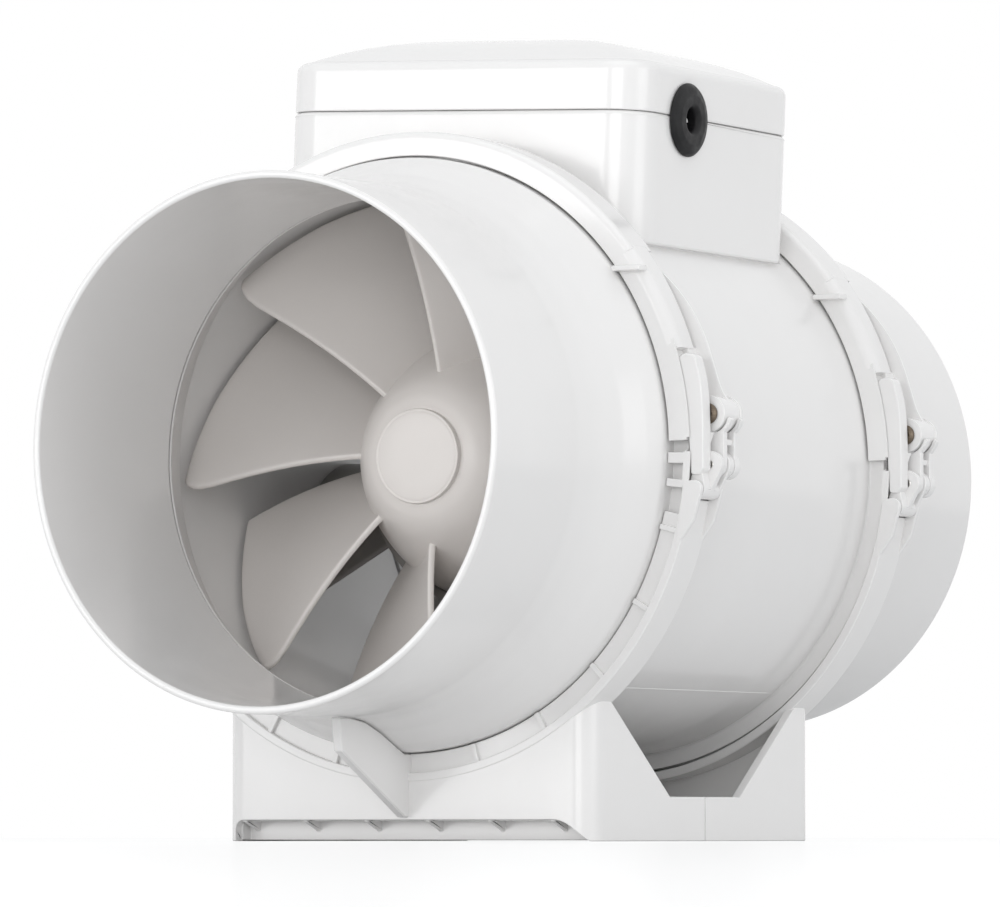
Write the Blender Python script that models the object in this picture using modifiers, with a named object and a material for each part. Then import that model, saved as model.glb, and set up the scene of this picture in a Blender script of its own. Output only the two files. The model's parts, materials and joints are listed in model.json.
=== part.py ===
"""An inline mixed-flow extractor fan for round duct, modelled as the pieces it comes apart into.

Metres, +Z up. The duct axis runs along Y with the inlet at -Y; the origin is under the middle of the base.
The motor block with its terminal box sits between the two spigot housings, held by two clamp bands.
"""

import math

import bmesh
import bpy
from mathutils import Matrix, Vector

MM = 0.001

# Driving dimensions, in metres. R is a radius about the duct axis, V a distance from the middle along it.
AXIS_HEIGHT = 115.7 * MM
BLOCK_LEAN = math.radians(2.5)          # the motor block sits turned a little towards +X
RIM_V = 154.5 * MM
SPIGOT_R = 79.0 * MM
SPIGOT_BORE_R = 76.7 * MM
BODY_R = 89.3 * MM                      # the motor block's barrel
BODY_BORE_R = 86.9 * MM
FLANGE_R = 94.2 * MM
CRADLE_R = 98.0 * MM
CRADLE_BORE_R = 95.3 * MM
CLAMP_V = 65.0 * MM                     # middle of each clamp band
CLAMP_HALF = 7.0 * MM

BASE_HALF_X = 63.5 * MM
BASE_HALF_Y = 68.2 * MM
BASE_CORNER_R = 10.0 * MM
BASE_WALL = 3.0 * MM
NOTCH_FLOOR_Z = 13.4 * MM
NOTCH_TOP_Z = 41.0 * MM
NOTCH_FLOOR_HALF = 22.5 * MM
NOTCH_TOP_HALF = 58.5 * MM
SLOT_HEIGHT = 6.3 * MM
SLOT_FROM_X = -61.0 * MM
SLOT_TO_X = 51.0 * MM
RIB_FROM_X = -56.6 * MM                # middle of the first rib behind the slot
RIB_PITCH = 21.4 * MM
RIB_WALL = 1.6 * MM
RAIL_FROM_V = 36.0 * MM                 # inner edge of the shelf with the fixing holes
FIXING_X = 45.0 * MM
FIXING_V = 49.0 * MM
FIXING_R = 3.0 * MM

BOX_HALF_X = 62.7 * MM
BOX_FRONT_Y = -49.0 * MM
BOX_REAR_Y = 56.0 * MM
BOX_CORNER_R = 13.0 * MM
BOX_WALL = 2.5 * MM
SEAM_Z = 105.6 * MM                     # lid seam above the duct axis
LID_EDGE_Z = 119.5 * MM
LID_TOP_Z = 131.6 * MM
GROMMET_Y = -18.0 * MM
GROMMET_Z = 105.0 * MM
GROMMET_FLANGE_R = 11.2 * MM
GROMMET_NECK_R = 8.0 * MM
GROMMET_HOLE_R = 3.5 * MM

HUB_R = 42.0 * MM
HUB_CAP_R = 14.4 * MM
HUB_FRONT_Y = -63.8 * MM
BLADE_COUNT = 8
BLADE_TIP_FRONT_R = 83.0 * MM
BLADE_TIP_REAR_R = 84.6 * MM
BLADE_FIRST = 133.0                     # degrees from +X to the first blade's leading edge at the hub
BLADE_SWEEP = 9.0                       # degrees that the leading edge leans forward at its tip
BLADE_SET_BACK = 11.0                   # mm that the leading edge falls back from tip to hub
BLADE_REAR_RISE = 2.5                   # mm that the trailing edge comes forward from tip to hub
VANE_COUNT = 9
SHAFT_R = 4.0 * MM

HINGE = (-105.5 * MM, -2.0 * MM)        # band hinge, (x, z) from the duct axis
CATCH = (99.6 * MM, 9.8 * MM)           # barrel on the free end of the band
CATCH_R = 5.4 * MM
LEVER_PIVOT = (98.2 * MM, -12.5 * MM)
LINK_PIVOT = (100.6 * MM, -5.2 * MM)    # in the lever's knuckle
KNUCKLE_R = 4.1 * MM
LUG_R = 3.0 * MM
GAP = 0.3 * MM                          # clearance between pieces that touch

BIG_STEPS = 40                          # sides of the large round pieces
SMALL_STEPS = 12                        # sides of pins, eyes and screws

WHITE = (0.90, 0.90, 0.895)
WARM_WHITE = (0.74, 0.71, 0.68)
BLACK = (0.02, 0.02, 0.02)
GREY = (0.35, 0.36, 0.37)
STEEL = (0.62, 0.61, 0.58)
COPPER = (0.72, 0.38, 0.20)


# ---------------------------------------------------------------- scene and materials

def clear_scene():
    for item in list(bpy.data.objects):
        bpy.data.objects.remove(item, do_unlink=True)


def new_collection(name):
    group = bpy.data.collections.new(name)
    bpy.context.scene.collection.children.link(group)
    return group


def paint(item, colour, roughness, metallic=0.0):
    """Give a piece its own Principled material."""
    material = bpy.data.materials.new(item.name)
    material.use_nodes = True
    shader = material.node_tree.nodes["Principled BSDF"]
    shader.inputs["Base Color"].default_value = (*colour, 1.0)
    shader.inputs["Roughness"].default_value = roughness
    shader.inputs["Metallic"].default_value = metallic
    item.data.materials.append(material)


def finish_kind(item, kind):
    looks = {
        "gloss": (WHITE, 0.22, 0.0),
        "satin": (WARM_WHITE, 0.45, 0.0),
        "rubber": (BLACK, 0.65, 0.0),
        "grey": (GREY, 0.5, 0.0),
        "steel": (STEEL, 0.32, 1.0),
        "copper": (COPPER, 0.4, 1.0),
    }
    paint(item, *looks[kind])


def pivot(name, location, parent=None):
    """An empty on a joint's axis, or at the duct axis, that carries the pieces of one body."""
    empty = bpy.data.objects.new(name, None)
    empty.empty_display_size = 0.02
    empty.location = location
    empty.parent = parent
    parts.objects.link(empty)
    return empty


def place(item, parent, kind=None, group=None):
    """Put a piece in its collection under its pivot; its mesh is drawn from the duct axis."""
    (group or parts).objects.link(item)
    if parent is not None:
        item.parent = parent
        item.location = Vector(item.location) - Vector(parent["drawn_from"])
    if kind:
        finish_kind(item, kind)
    return item


# ---------------------------------------------------------------- shapes

def mesh_object(name, bm, smooth_angle=None):
    bmesh.ops.recalc_face_normals(bm, faces=bm.faces)
    mesh = bpy.data.meshes.new(name)
    bm.to_mesh(mesh)
    bm.free()
    if smooth_angle is not None:
        mesh.shade_smooth()
        mesh.set_sharp_from_angle(angle=math.radians(smooth_angle))
    return bpy.data.objects.new(name, mesh)


def block(name, low, high):
    """An axis-aligned box between two corners."""
    bm = bmesh.new()
    size = Vector(high) - Vector(low)
    middle = (Vector(high) + Vector(low)) / 2
    matrix = Matrix.Translation(middle) @ Matrix.Diagonal((*size, 1.0))
    bmesh.ops.create_cube(bm, size=1.0, matrix=matrix)
    return mesh_object(name, bm)


def rod(name, start, end, radius, steps=SMALL_STEPS, end_radius=None):
    """A cylinder or cone between two points."""
    bm = bmesh.new()
    along = Vector(end) - Vector(start)
    turn = Vector((0, 0, 1)).rotation_difference(along).to_matrix().to_4x4()
    matrix = Matrix.Translation((Vector(start) + Vector(end)) / 2) @ turn
    bmesh.ops.create_cone(bm, cap_ends=True, segments=steps, radius1=radius,
                          radius2=end_radius or radius, depth=along.length, matrix=matrix)
    return mesh_object(name, bm, 40)


def rod_y(name, centre, radius, y_from, y_to, steps=SMALL_STEPS):
    """A cylinder along Y about the point (x, z)."""
    x, z = centre
    return rod(name, (x, y_from, z), (x, y_to, z), radius, steps)


def outline_plate(name, outline, y_from, y_to):
    """A flat plate of one (x, z) outline between two Y planes."""
    bm = bmesh.new()
    face = bm.faces.new([bm.verts.new((x, y_from, z)) for x, z in outline])
    made = bmesh.ops.extrude_face_region(bm, geom=[face])
    moved = [v for v in made["geom"] if isinstance(v, bmesh.types.BMVert)]
    bmesh.ops.translate(bm, verts=moved, vec=(0, y_to - y_from, 0))
    return mesh_object(name, bm)


def circle_points(centre, radius, start=0.0, end=360.0, count=SMALL_STEPS):
    """Points (x, z) along an arc; a full circle leaves out its repeated last point."""
    last = count if abs(end - start) >= 360.0 else count - 1
    angles = [math.radians(start + (end - start) * i / last) for i in range(count)]
    return [(centre[0] + radius * math.cos(a), centre[1] + radius * math.sin(a)) for a in angles]


def hull(points):
    """The convex outline round some (x, z) points, by Andrew's monotone chain."""
    points = sorted(set(points))

    def half(sequence):
        chain = []
        for p in sequence:
            while len(chain) > 1:
                (ax, az), (bx, bz) = chain[-2], chain[-1]
                if (bx - ax) * (p[1] - az) - (bz - az) * (p[0] - ax) > 0:
                    break
                chain.pop()
            chain.append(p)
        return chain[:-1]

    return half(points) + half(reversed(points))


def turned(name, profile, steps=BIG_STEPS, side=1):
    """Turn a closed (R, V) profile about the duct axis. It runs down its outer side at side 1."""
    if side < 0:
        profile = list(reversed(profile))
    mesh = bpy.data.meshes.new(name)
    count = len(profile)
    mesh.from_pydata([(r, 0.0, side * v) for r, v in profile],
                     [(i, (i + 1) % count) for i in range(count)], [])
    item = bpy.data.objects.new(name, mesh)
    item.rotation_euler = (-math.pi / 2, 0, 0)
    screw = item.modifiers.new("turn", "SCREW")
    screw.axis = "Z"
    screw.steps = steps
    screw.render_steps = steps
    screw.use_merge_vertices = True
    screw.merge_threshold = 0.00001
    screw.use_smooth_shade = True
    return item


def arc_solid(name, section, start, end, steps):
    """Sweep a closed (R, Y) section about the duct axis from one angle to another, in degrees."""
    bm = bmesh.new()
    face = bm.faces.new([bm.verts.new((r, y, 0.0)) for r, y in section])
    turn = Matrix.Rotation(-math.radians(start), 4, "Y")
    bmesh.ops.transform(bm, matrix=turn, verts=bm.verts)
    geometry = bm.verts[:] + bm.edges[:] + [face]
    bmesh.ops.spin(bm, geom=geometry, cent=(0, 0, 0), axis=(0, -1, 0),
                   angle=math.radians(end - start), steps=steps, use_duplicate=False)
    return mesh_object(name, bm, 35)


def rounded_outline(half_x, low_y, high_y, radius, per_corner=4):
    """Corner points (x, y) of a rounded rectangle, anticlockwise."""
    centres = [(half_x - radius, high_y - radius, 0), (radius - half_x, high_y - radius, 90),
               (radius - half_x, low_y + radius, 180), (half_x - radius, low_y + radius, 270)]
    points = []
    for cx, cy, first in centres:
        for i in range(per_corner):
            a = math.radians(first + 90.0 * i / (per_corner - 1))
            points.append((cx + radius * math.cos(a), cy + radius * math.sin(a)))
    return points


def stacked(name, rings, cap_low=True, cap_high=True):
    """Join closed rings of 3-D points, all of one length, into a solid."""
    bm = bmesh.new()
    loops = [[bm.verts.new(p) for p in ring] for ring in rings]
    count = len(rings[0])
    for low, high in zip(loops, loops[1:]):
        for i in range(count):
            j = (i + 1) % count
            bm.faces.new((low[i], low[j], high[j], high[i]))
    if cap_low:
        bm.faces.new(loops[0])
    if cap_high:
        bm.faces.new(loops[-1])
    return mesh_object(name, bm, 30)


def merge_meshes(name, items):
    """One cutter or adder made of several bodies that don't touch."""
    bm = bmesh.new()
    for item in items:
        copy = item.data.copy()
        copy.transform(Matrix.Translation(item.location))
        bm.from_mesh(copy)
        bpy.data.meshes.remove(copy)
        bpy.data.objects.remove(item)
    return mesh_object(name, bm)


def tool(item, parent):
    """Hide a shape that only cuts or joins others, and keep it with the cutters."""
    place(item, parent, group=cutters)
    item.hide_render = True
    item.display_type = "WIRE"
    return item


def combine(item, other, operation, parent=None):
    """Add a Boolean to a piece; the other shape is moved to the cutters under the same pivot."""
    if other.name not in cutters.objects:
        tool(other, parent)
    modifier = item.modifiers.new(operation.lower(), "BOOLEAN")
    modifier.operation = operation
    modifier.object = other
    modifier.solver = "EXACT"
    return item


# ---------------------------------------------------------------- spigots and the two base halves

def spigot_shell(name, side):
    """The turned part: duct spigot, flare and flange."""
    flare = [(80.2, 97.0), (83.2, 88.0), (87.0, 79.5)]
    throat = [(86.5, 68.0), (83.6, 75.0), (79.0, 83.8)]
    profile = [(SPIGOT_R, RIM_V), (SPIGOT_R, 106.0 * MM)]
    profile += [(r * MM, v * MM) for r, v in flare]
    profile += [(BODY_R, 74.0 * MM), (BODY_R, 67.2 * MM), (FLANGE_R, 67.2 * MM), (FLANGE_R, 64.8 * MM),
                (BODY_BORE_R, 64.8 * MM)]
    profile += [(r * MM, v * MM) for r, v in throat]
    profile += [(SPIGOT_BORE_R, 84.2 * MM), (SPIGOT_BORE_R, RIM_V)]
    return turned(name, profile, side=side)


def base_walls(side):
    """Three walls of one base half, open towards the other half, up to the cradle."""
    top = AXIS_HEIGHT * 0.41
    outer = rounded_outline(BASE_HALF_X, -BASE_HALF_Y, BASE_HALF_Y, BASE_CORNER_R)
    inner = rounded_outline(BASE_HALF_X - BASE_WALL, BASE_WALL - BASE_HALF_Y, BASE_HALF_Y - BASE_WALL,
                            BASE_CORNER_R - BASE_WALL)
    walls = stacked(f"walls_{side}", [[(x, y, z - AXIS_HEIGHT) for x, y in outer] for z in (0.0, top)])
    hollow = stacked(f"hollow_{side}",
                     [[(x, y, z - AXIS_HEIGHT) for x, y in inner] for z in (-0.01, top + 0.01)])
    low, high = sorted((side * 0.15 * MM, -side * 0.2))
    other_half = block(f"other_half_{side}", (-0.1, low, -0.2), (0.1, high, 0.1))
    combine(walls, hollow, "DIFFERENCE", duct_axis)
    combine(walls, other_half, "DIFFERENCE", duct_axis)
    return walls


def notch_cutter(side):
    """The wide V cut through both side walls, seen from +X."""
    floor = NOTCH_FLOOR_Z - AXIS_HEIGHT
    top = NOTCH_TOP_Z - AXIS_HEIGHT
    rise = (NOTCH_TOP_HALF - NOTCH_FLOOR_HALF) / (NOTCH_TOP_Z - NOTCH_FLOOR_Z)
    above = 15 * MM
    wide = NOTCH_TOP_HALF + rise * above
    outline = [(-NOTCH_FLOOR_HALF, floor), (NOTCH_FLOOR_HALF, floor), (wide, top + above), (-wide, top + above)]
    rings = [[(x, y, z) for y, z in outline] for x in (-0.1, 0.1)]
    return stacked(f"notch_{side}", rings)


def slot_cutter(side):
    """The long low slot in the outer face of the foot; its +X end tapers to the corner."""
    z0 = -AXIS_HEIGHT - 1 * MM
    top = SLOT_HEIGHT - AXIS_HEIGHT
    end = BASE_HALF_X - 1.5 * MM
    outline = [(SLOT_FROM_X, z0), (end, z0)]
    steps = 6
    for i in range(steps + 1):
        t = i / steps
        drop = (SLOT_HEIGHT + 0.5 * MM) * (1 - math.sin(math.radians(90 * t)))
        outline.append((end + (SLOT_TO_X - end) * t, top - drop))
    outline.append((SLOT_FROM_X, top))
    low, high = sorted((side * (BASE_HALF_Y - BASE_CORNER_R), side * (BASE_HALF_Y + 5 * MM)))
    return outline_plate(f"slot_{side}", outline, low, high)


def foot_ribs(side):
    """Triangular webs in the slot's pocket, under the shelf."""
    pieces = []
    for i in range(6):
        x = RIB_FROM_X + RIB_PITCH * i
        rings = []
        for px in (x - RIB_WALL / 2, x + RIB_WALL / 2):
            points = [(54.5, 0.3), (55.8, 0.3), (67.6, 6.0), (67.6, 7.0), (54.5, 7.0)]
            rings.append([(px, side * y * MM, z * MM - AXIS_HEIGHT) for y, z in points])
        pieces.append(stacked(f"rib_{side}_{i}", rings))
    return merge_meshes(f"ribs_{side}", pieces)


def pocket_wall(side):
    """The wall at the back of the slot, that the webs brace."""
    low, high = sorted((side * 53.6 * MM, side * 55.6 * MM))
    return block(f"pocket_wall_{side}", (-61.5 * MM, low, 0.3 * MM - AXIS_HEIGHT),
                 (61.5 * MM, high, 7.0 * MM - AXIS_HEIGHT))


def bottom_rail(side):
    """A flat shelf inside the foot that joins the ribs, with two screw slots."""
    outline = rounded_outline(BASE_HALF_X - 1.4 * MM, 1.4 * MM - BASE_HALF_Y, BASE_HALF_Y - 1.4 * MM,
                              BASE_CORNER_R - 1.4 * MM)
    rail = stacked(f"rail_{side}", [[(x, y, z * MM - AXIS_HEIGHT) for x, y in outline] for z in (6.4, 9.4)])
    low, high = sorted((side * RAIL_FROM_V, -side * 0.1))
    combine(rail, block(f"rail_end_{side}", (-0.1, low, -0.2), (0.1, high, 0.0)), "DIFFERENCE", duct_axis)
    holes = []
    for x in (-FIXING_X, FIXING_X):
        y = side * FIXING_V
        holes.append(rod(f"fixing_{side}_{x}", (x, y, -AXIS_HEIGHT), (x, y, -0.05), FIXING_R, 16))
    return combine(rail, merge_meshes(f"fixings_{side}", holes), "DIFFERENCE", duct_axis)


def seam_wall(side):
    low, high = sorted((side * 0.15 * MM, side * 3.0 * MM))
    wall = block(f"seam_wall_{side}", (-62 * MM, low, 0.4 * MM - AXIS_HEIGHT),
                 (62 * MM, high, -AXIS_HEIGHT + NOTCH_FLOOR_Z - 0.4 * MM))
    holes = [rod(f"seam_hole_{side}_{x}", (x * MM, -0.01, 7.5 * MM - AXIS_HEIGHT),
                 (x * MM, 0.01, 7.5 * MM - AXIS_HEIGHT), 2.3 * MM, 16) for x in (-40, 40)]
    return combine(wall, merge_meshes(f"seam_holes_{side}", holes), "DIFFERENCE", duct_axis)


def cradle(side):
    """The lower half ring that carries the motor block's flange, with its lightening groove and ribs."""
    bore, rim, web = CRADLE_BORE_R, CRADLE_R, FLANGE_R + GAP
    section = [(web, 66.9), (bore, 66.9), (bore, 72.0), (rim, 72.0), (rim, 58.0), (bore, 58.0), (bore, 65.1),
               (web, 65.1)]
    section = [(r, side * v * MM) for r, v in section]
    return arc_solid(f"cradle_{side}", section, 184.0, 359.4, 20)


def groove_ribs(side):
    pieces = []
    ribs = [(angle, 96.0 * MM, 0.8 * MM) for angle in range(-165, 0, 15)]
    ribs += [(-2.0, 95.6 * MM, 1.6 * MM), (-6.6, 95.6 * MM, 1.2 * MM)]
    for angle, reach, half in ribs:
        low, high = sorted((side * 67.6 * MM, side * 71.4 * MM))
        rib = block("groove_rib", (BODY_R + GAP, low, -half), (reach, high, half))
        rib.data.transform(Matrix.Rotation(-math.radians(angle), 4, "Y"))
        pieces.append(rib)
    return merge_meshes(f"groove_ribs_{side}", pieces)


def lever_recess(side, y_middle):
    """Room in the end of the cradle for the lever, its boss and its knuckle."""
    low, high = y_middle - 8 * MM, y_middle + 8 * MM
    section = [(95.9 * MM, low), (99.5 * MM, low), (99.5 * MM, high), (95.9 * MM, high)]
    end = arc_solid(f"recess_end_{side}", section, -6.2, 3.0, 3)
    boss = rod_y("recess_boss", LEVER_PIVOT, 3.5 * MM, y_middle - 5.35 * MM, y_middle + 5.35 * MM, 16)
    return end, merge_meshes(f"recess_{side}", [boss])


def clamp_lugs(side, y_middle):
    """Pairs of ears on the cradle for the band's hinge and for the lever."""
    pieces = []
    for low, high in ((-7.0, -5.35), (5.35, 7.0)):
        y0 = y_middle + low * MM
        y1 = y_middle + high * MM
        left = hull([(-96.5 * MM, -9 * MM), (-95.0 * MM, -20 * MM)] + circle_points(HINGE, 5.0 * MM))
        right = hull([(94.9 * MM, -10.5 * MM), (92.0 * MM, -30 * MM), (98.4 * MM, -21.5 * MM)]
                     + circle_points(LEVER_PIVOT, LUG_R))
        pieces.append(outline_plate("hinge_lug", left, y0, y1))
        pieces.append(outline_plate("lever_lug", right, y0, y1))
    return merge_meshes(f"lugs_{side}", pieces)


def pin_holes(name, y_middle, places):
    return merge_meshes(name, [rod_y("pin_hole", centre, radius, y_middle - reach, y_middle + reach)
                               for centre, radius, reach in places])


def support_fin(side):
    """A thin gusset from the foot to the underside of the spigot."""
    outline = [(66.5, 6.8), (74.0, 7.2), (110.5, 26.5), (112.0, 36.4), (106.0, 36.4), (97.0, 35.2), (88.0, 32.2),
               (79.5, 28.4), (74.0, 26.1), (67.6, 26.1), (67.6, 21.0), (66.5, 19.0)]
    rings = [[(x, side * v * MM, z * MM - AXIS_HEIGHT) for v, z in outline] for x in (-1.5 * MM, 1.5 * MM)]
    return stacked(f"fin_{side}", rings)


def make_spigot(name, side):
    return place(spigot_shell(name, side), duct_axis, "gloss")


def make_base(name, side):
    """One half of the foot with its cradle: the cradle holds the spigot's flange."""
    y_middle = side * CLAMP_V
    walls = base_walls(side)
    round_space = turned(f"block_space_{side}", [(96.4 * MM, 76.0 * MM), (96.4 * MM, -0.01), (1 * MM, -0.01),
                                                 (1 * MM, 76.0 * MM)], side=side)
    combine(walls, round_space, "DIFFERENCE", duct_axis)
    combine(walls, notch_cutter(side), "DIFFERENCE", duct_axis)
    combine(walls, slot_cutter(side), "DIFFERENCE", duct_axis)
    combine(walls, foot_ribs(side), "UNION", duct_axis)
    combine(walls, pocket_wall(side), "UNION", duct_axis)
    combine(walls, bottom_rail(side), "UNION", duct_axis)
    combine(walls, seam_wall(side), "UNION", duct_axis)
    ring = cradle(side)
    for room in lever_recess(side, y_middle):
        combine(ring, room, "DIFFERENCE", duct_axis)
    combine(ring, clamp_lugs(side, y_middle), "UNION", duct_axis)
    combine(ring, groove_ribs(side), "UNION", duct_axis)
    combine(ring, pin_holes(f"pin_holes_{side}", y_middle, [(HINGE, 1.9 * MM, 10 * MM),
                                                            (LEVER_PIVOT, 1.8 * MM, 6.5 * MM)]),
            "DIFFERENCE", duct_axis)
    combine(walls, ring, "UNION", duct_axis)
    combine(walls, support_fin(side), "UNION", duct_axis)
    walls.name = name
    return place(walls, duct_axis, "gloss")


def make_seal(name, side):
    profile = [(92.6, 64.5), (92.6, 63.3), (88.2, 63.3), (88.2, 64.5)]
    return place(turned(name, [(r * MM, v * MM) for r, v in profile], side=side), duct_axis, "rubber")


def make_screw(name, start, end, radius, head_radius, head_length, parent, kind="steel"):
    """A plain screw: the shank runs from start to end, and the head stands on past the end."""
    start, end = Vector(start), Vector(end)
    along = (end - start).normalized()
    shank = rod(name, start, end + along * head_length * 0.5, radius, 8)
    head = rod(f"{name}_head", end, end + along * head_length, head_radius, 12)
    combine(shank, head, "UNION", parent)
    return place(shank, parent, kind)


# ---------------------------------------------------------------- motor block

def block_casing():
    """The barrel with its two flanges and the open terminal box moulded on top."""
    end = 63.0 * MM
    flange_end = 60.6 * MM
    profile = [(FLANGE_R, end), (FLANGE_R, flange_end), (BODY_R, flange_end), (BODY_R, -flange_end),
               (FLANGE_R, -flange_end), (FLANGE_R, -end), (BODY_BORE_R, -end), (BODY_BORE_R, end)]
    return turned("motor_casing", profile)


def box_rings(half_x, front, rear, corner, levels):
    outline = rounded_outline(half_x, front, rear, corner)
    return [[(x, y, z) for x, y in outline] for z in levels]


def make_casing():
    casing = block_casing()
    box = stacked("box_outer", box_rings(BOX_HALF_X, BOX_FRONT_Y, BOX_REAR_Y, BOX_CORNER_R,
                                         (66 * MM, SEAM_Z - GAP / 2)))
    under_box = turned("under_box", [(88.0 * MM, 0.08), (88.0 * MM, -0.08), (1 * MM, -0.08), (1 * MM, 0.08)])
    combine(box, under_box, "DIFFERENCE", block_axis)
    combine(casing, box, "UNION", block_axis)
    wall = BOX_WALL
    hollow = stacked("box_hollow", box_rings(BOX_HALF_X - wall, BOX_FRONT_Y + wall, BOX_REAR_Y - wall,
                                             BOX_CORNER_R - wall, (60 * MM, SEAM_Z + 5 * MM)))
    floor = turned("box_floor", [(92.3 * MM, 0.09), (92.3 * MM, -0.09), (1 * MM, -0.09), (1 * MM, 0.09)])
    combine(hollow, floor, "DIFFERENCE", block_axis)
    combine(casing, hollow, "DIFFERENCE", block_axis)
    posts = merge_meshes("screw_posts", [rod("post", (x, y, 70 * MM), (x, y, SEAM_Z - 1 * MM), 5 * MM, 16)
                                         for x, y in lid_screw_places()])
    combine(posts, under_box, "DIFFERENCE")
    combine(casing, posts, "UNION", block_axis)
    holes = [rod("post_hole", (x, y, 92 * MM), (x, y, SEAM_Z + 5 * MM), 2.1 * MM, 12)
             for x, y in lid_screw_places()]
    combine(casing, merge_meshes("post_holes", holes), "DIFFERENCE", block_axis)
    combine(casing, grommet_hole_cutter("casing_grommet_hole"), "DIFFERENCE", block_axis)
    lead_hole = rod("lead_hole", (0, 30 * MM, 80 * MM), (0, 30 * MM, 100 * MM), 5 * MM, 16)
    combine(casing, lead_hole, "DIFFERENCE", block_axis)
    return place(casing, block_axis, "gloss")


def lid_screw_places():
    x = BOX_HALF_X - 11 * MM
    return [(-x, BOX_REAR_Y - 11 * MM), (x, BOX_REAR_Y - 11 * MM)]


def grommet_hole_cutter(name):
    x = BOX_HALF_X
    return rod(name, (x - 6 * MM, GROMMET_Y, GROMMET_Z), (x + 6 * MM, GROMMET_Y, GROMMET_Z),
               GROMMET_NECK_R + GAP, 24)


def lid_height(shrink):
    """Height of the crowned top where the outline has shrunk to this fraction of its size."""
    crown = LID_TOP_Z - LID_EDGE_Z
    return LID_EDGE_Z + crown * (1.0 - shrink ** 2.6)


def lid_rings(inset, low, shrinks, drop):
    """Rings of the lid's side and crowned top; inset and drop make the inner surface."""
    middle_y = (BOX_FRONT_Y + BOX_REAR_Y) / 2
    outline = rounded_outline(BOX_HALF_X - inset, BOX_FRONT_Y + inset, BOX_REAR_Y - inset, BOX_CORNER_R - inset)
    rings = [[(x, y, low) for x, y in outline], [(x, y, LID_EDGE_Z - 1.5 * MM - drop) for x, y in outline]]
    for s in shrinks:
        rings.append([(x * s, middle_y + (y - middle_y) * s, lid_height(s) - drop) for x, y in outline])
    return rings


def lid_tongues():
    """Two tongues behind the front wall that hook the lid to the box."""
    inner = BOX_FRONT_Y + BOX_WALL
    pieces = []
    for x in (-30 * MM, 30 * MM):
        points = [(inner + 0.4 * MM, 99.0), (inner + 2.2 * MM, 99.0), (inner + 2.2 * MM, 111.0),
                  (inner - 0.8 * MM, 111.0), (inner - 0.8 * MM, 107.0), (inner + 0.4 * MM, 107.0)]
        rings = [[(px, y, z * MM) for y, z in points] for px in (x - 8 * MM, x + 8 * MM)]
        pieces.append(stacked("tongue", rings))
    return merge_meshes("lid_tongues", pieces)


def make_lid():
    shrinks = (0.97, 0.8, 0.45)
    lid = stacked("terminal_lid", lid_rings(0.0, SEAM_Z + GAP / 2, shrinks, 0.0))
    hollow = stacked("lid_hollow", lid_rings(BOX_WALL, SEAM_Z - 3 * MM, shrinks, BOX_WALL))
    combine(lid, hollow, "DIFFERENCE", block_axis)
    bosses = merge_meshes("lid_bosses", [rod("boss", (x, y, SEAM_Z + 3 * MM), (x, y, 120 * MM), 6 * MM, 16)
                                         for x, y in lid_screw_places()])
    combine(lid, bosses, "UNION", block_axis)
    combine(lid, lid_tongues(), "UNION", block_axis)
    sinks = [rod("sink", (x, y, 116.5 * MM), (x, y, 128 * MM), 4.3 * MM, 16) for x, y in lid_screw_places()]
    shafts = [rod("shaft_hole", (x, y, 100 * MM), (x, y, 120 * MM), 2.3 * MM, 12) for x, y in lid_screw_places()]
    combine(lid, merge_meshes("lid_sinks", sinks), "DIFFERENCE", block_axis)
    combine(lid, merge_meshes("lid_shafts", shafts), "DIFFERENCE", block_axis)
    combine(lid, grommet_hole_cutter("lid_grommet_hole"), "DIFFERENCE", block_axis)
    return place(lid, block_axis, "gloss")


def make_lid_screws():
    for i, (x, y) in enumerate(lid_screw_places()):
        make_screw(f"lid_screw_{i + 1}", (x, y, 96 * MM), (x, y, 116.8 * MM), 1.8 * MM, 3.8 * MM, 2.2 * MM,
                   block_axis)


def make_grommet():
    """A rubber bush turned about X: outer flange, neck through the wall and inner flange."""
    flange, neck, hole = GROMMET_FLANGE_R, GROMMET_NECK_R, GROMMET_HOLE_R
    profile = [(4.2 * MM, 4.5), (7.5 * MM, 4.3), (10.4 * MM, 3.1), (flange, 1.2), (flange, 0.3), (neck, 0.3),
               (neck, -2.8), (10.0 * MM, -2.8), (10.0 * MM, -5.0), (hole, -5.0), (hole, 3.8)]
    grommet = turned("cable_grommet", [(r, BOX_HALF_X + v * MM) for r, v in profile], 18)
    grommet.rotation_euler = (0, math.pi / 2, 0)
    grommet.location = (0, GROMMET_Y, GROMMET_Z)
    return place(grommet, block_axis, "rubber")


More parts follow.
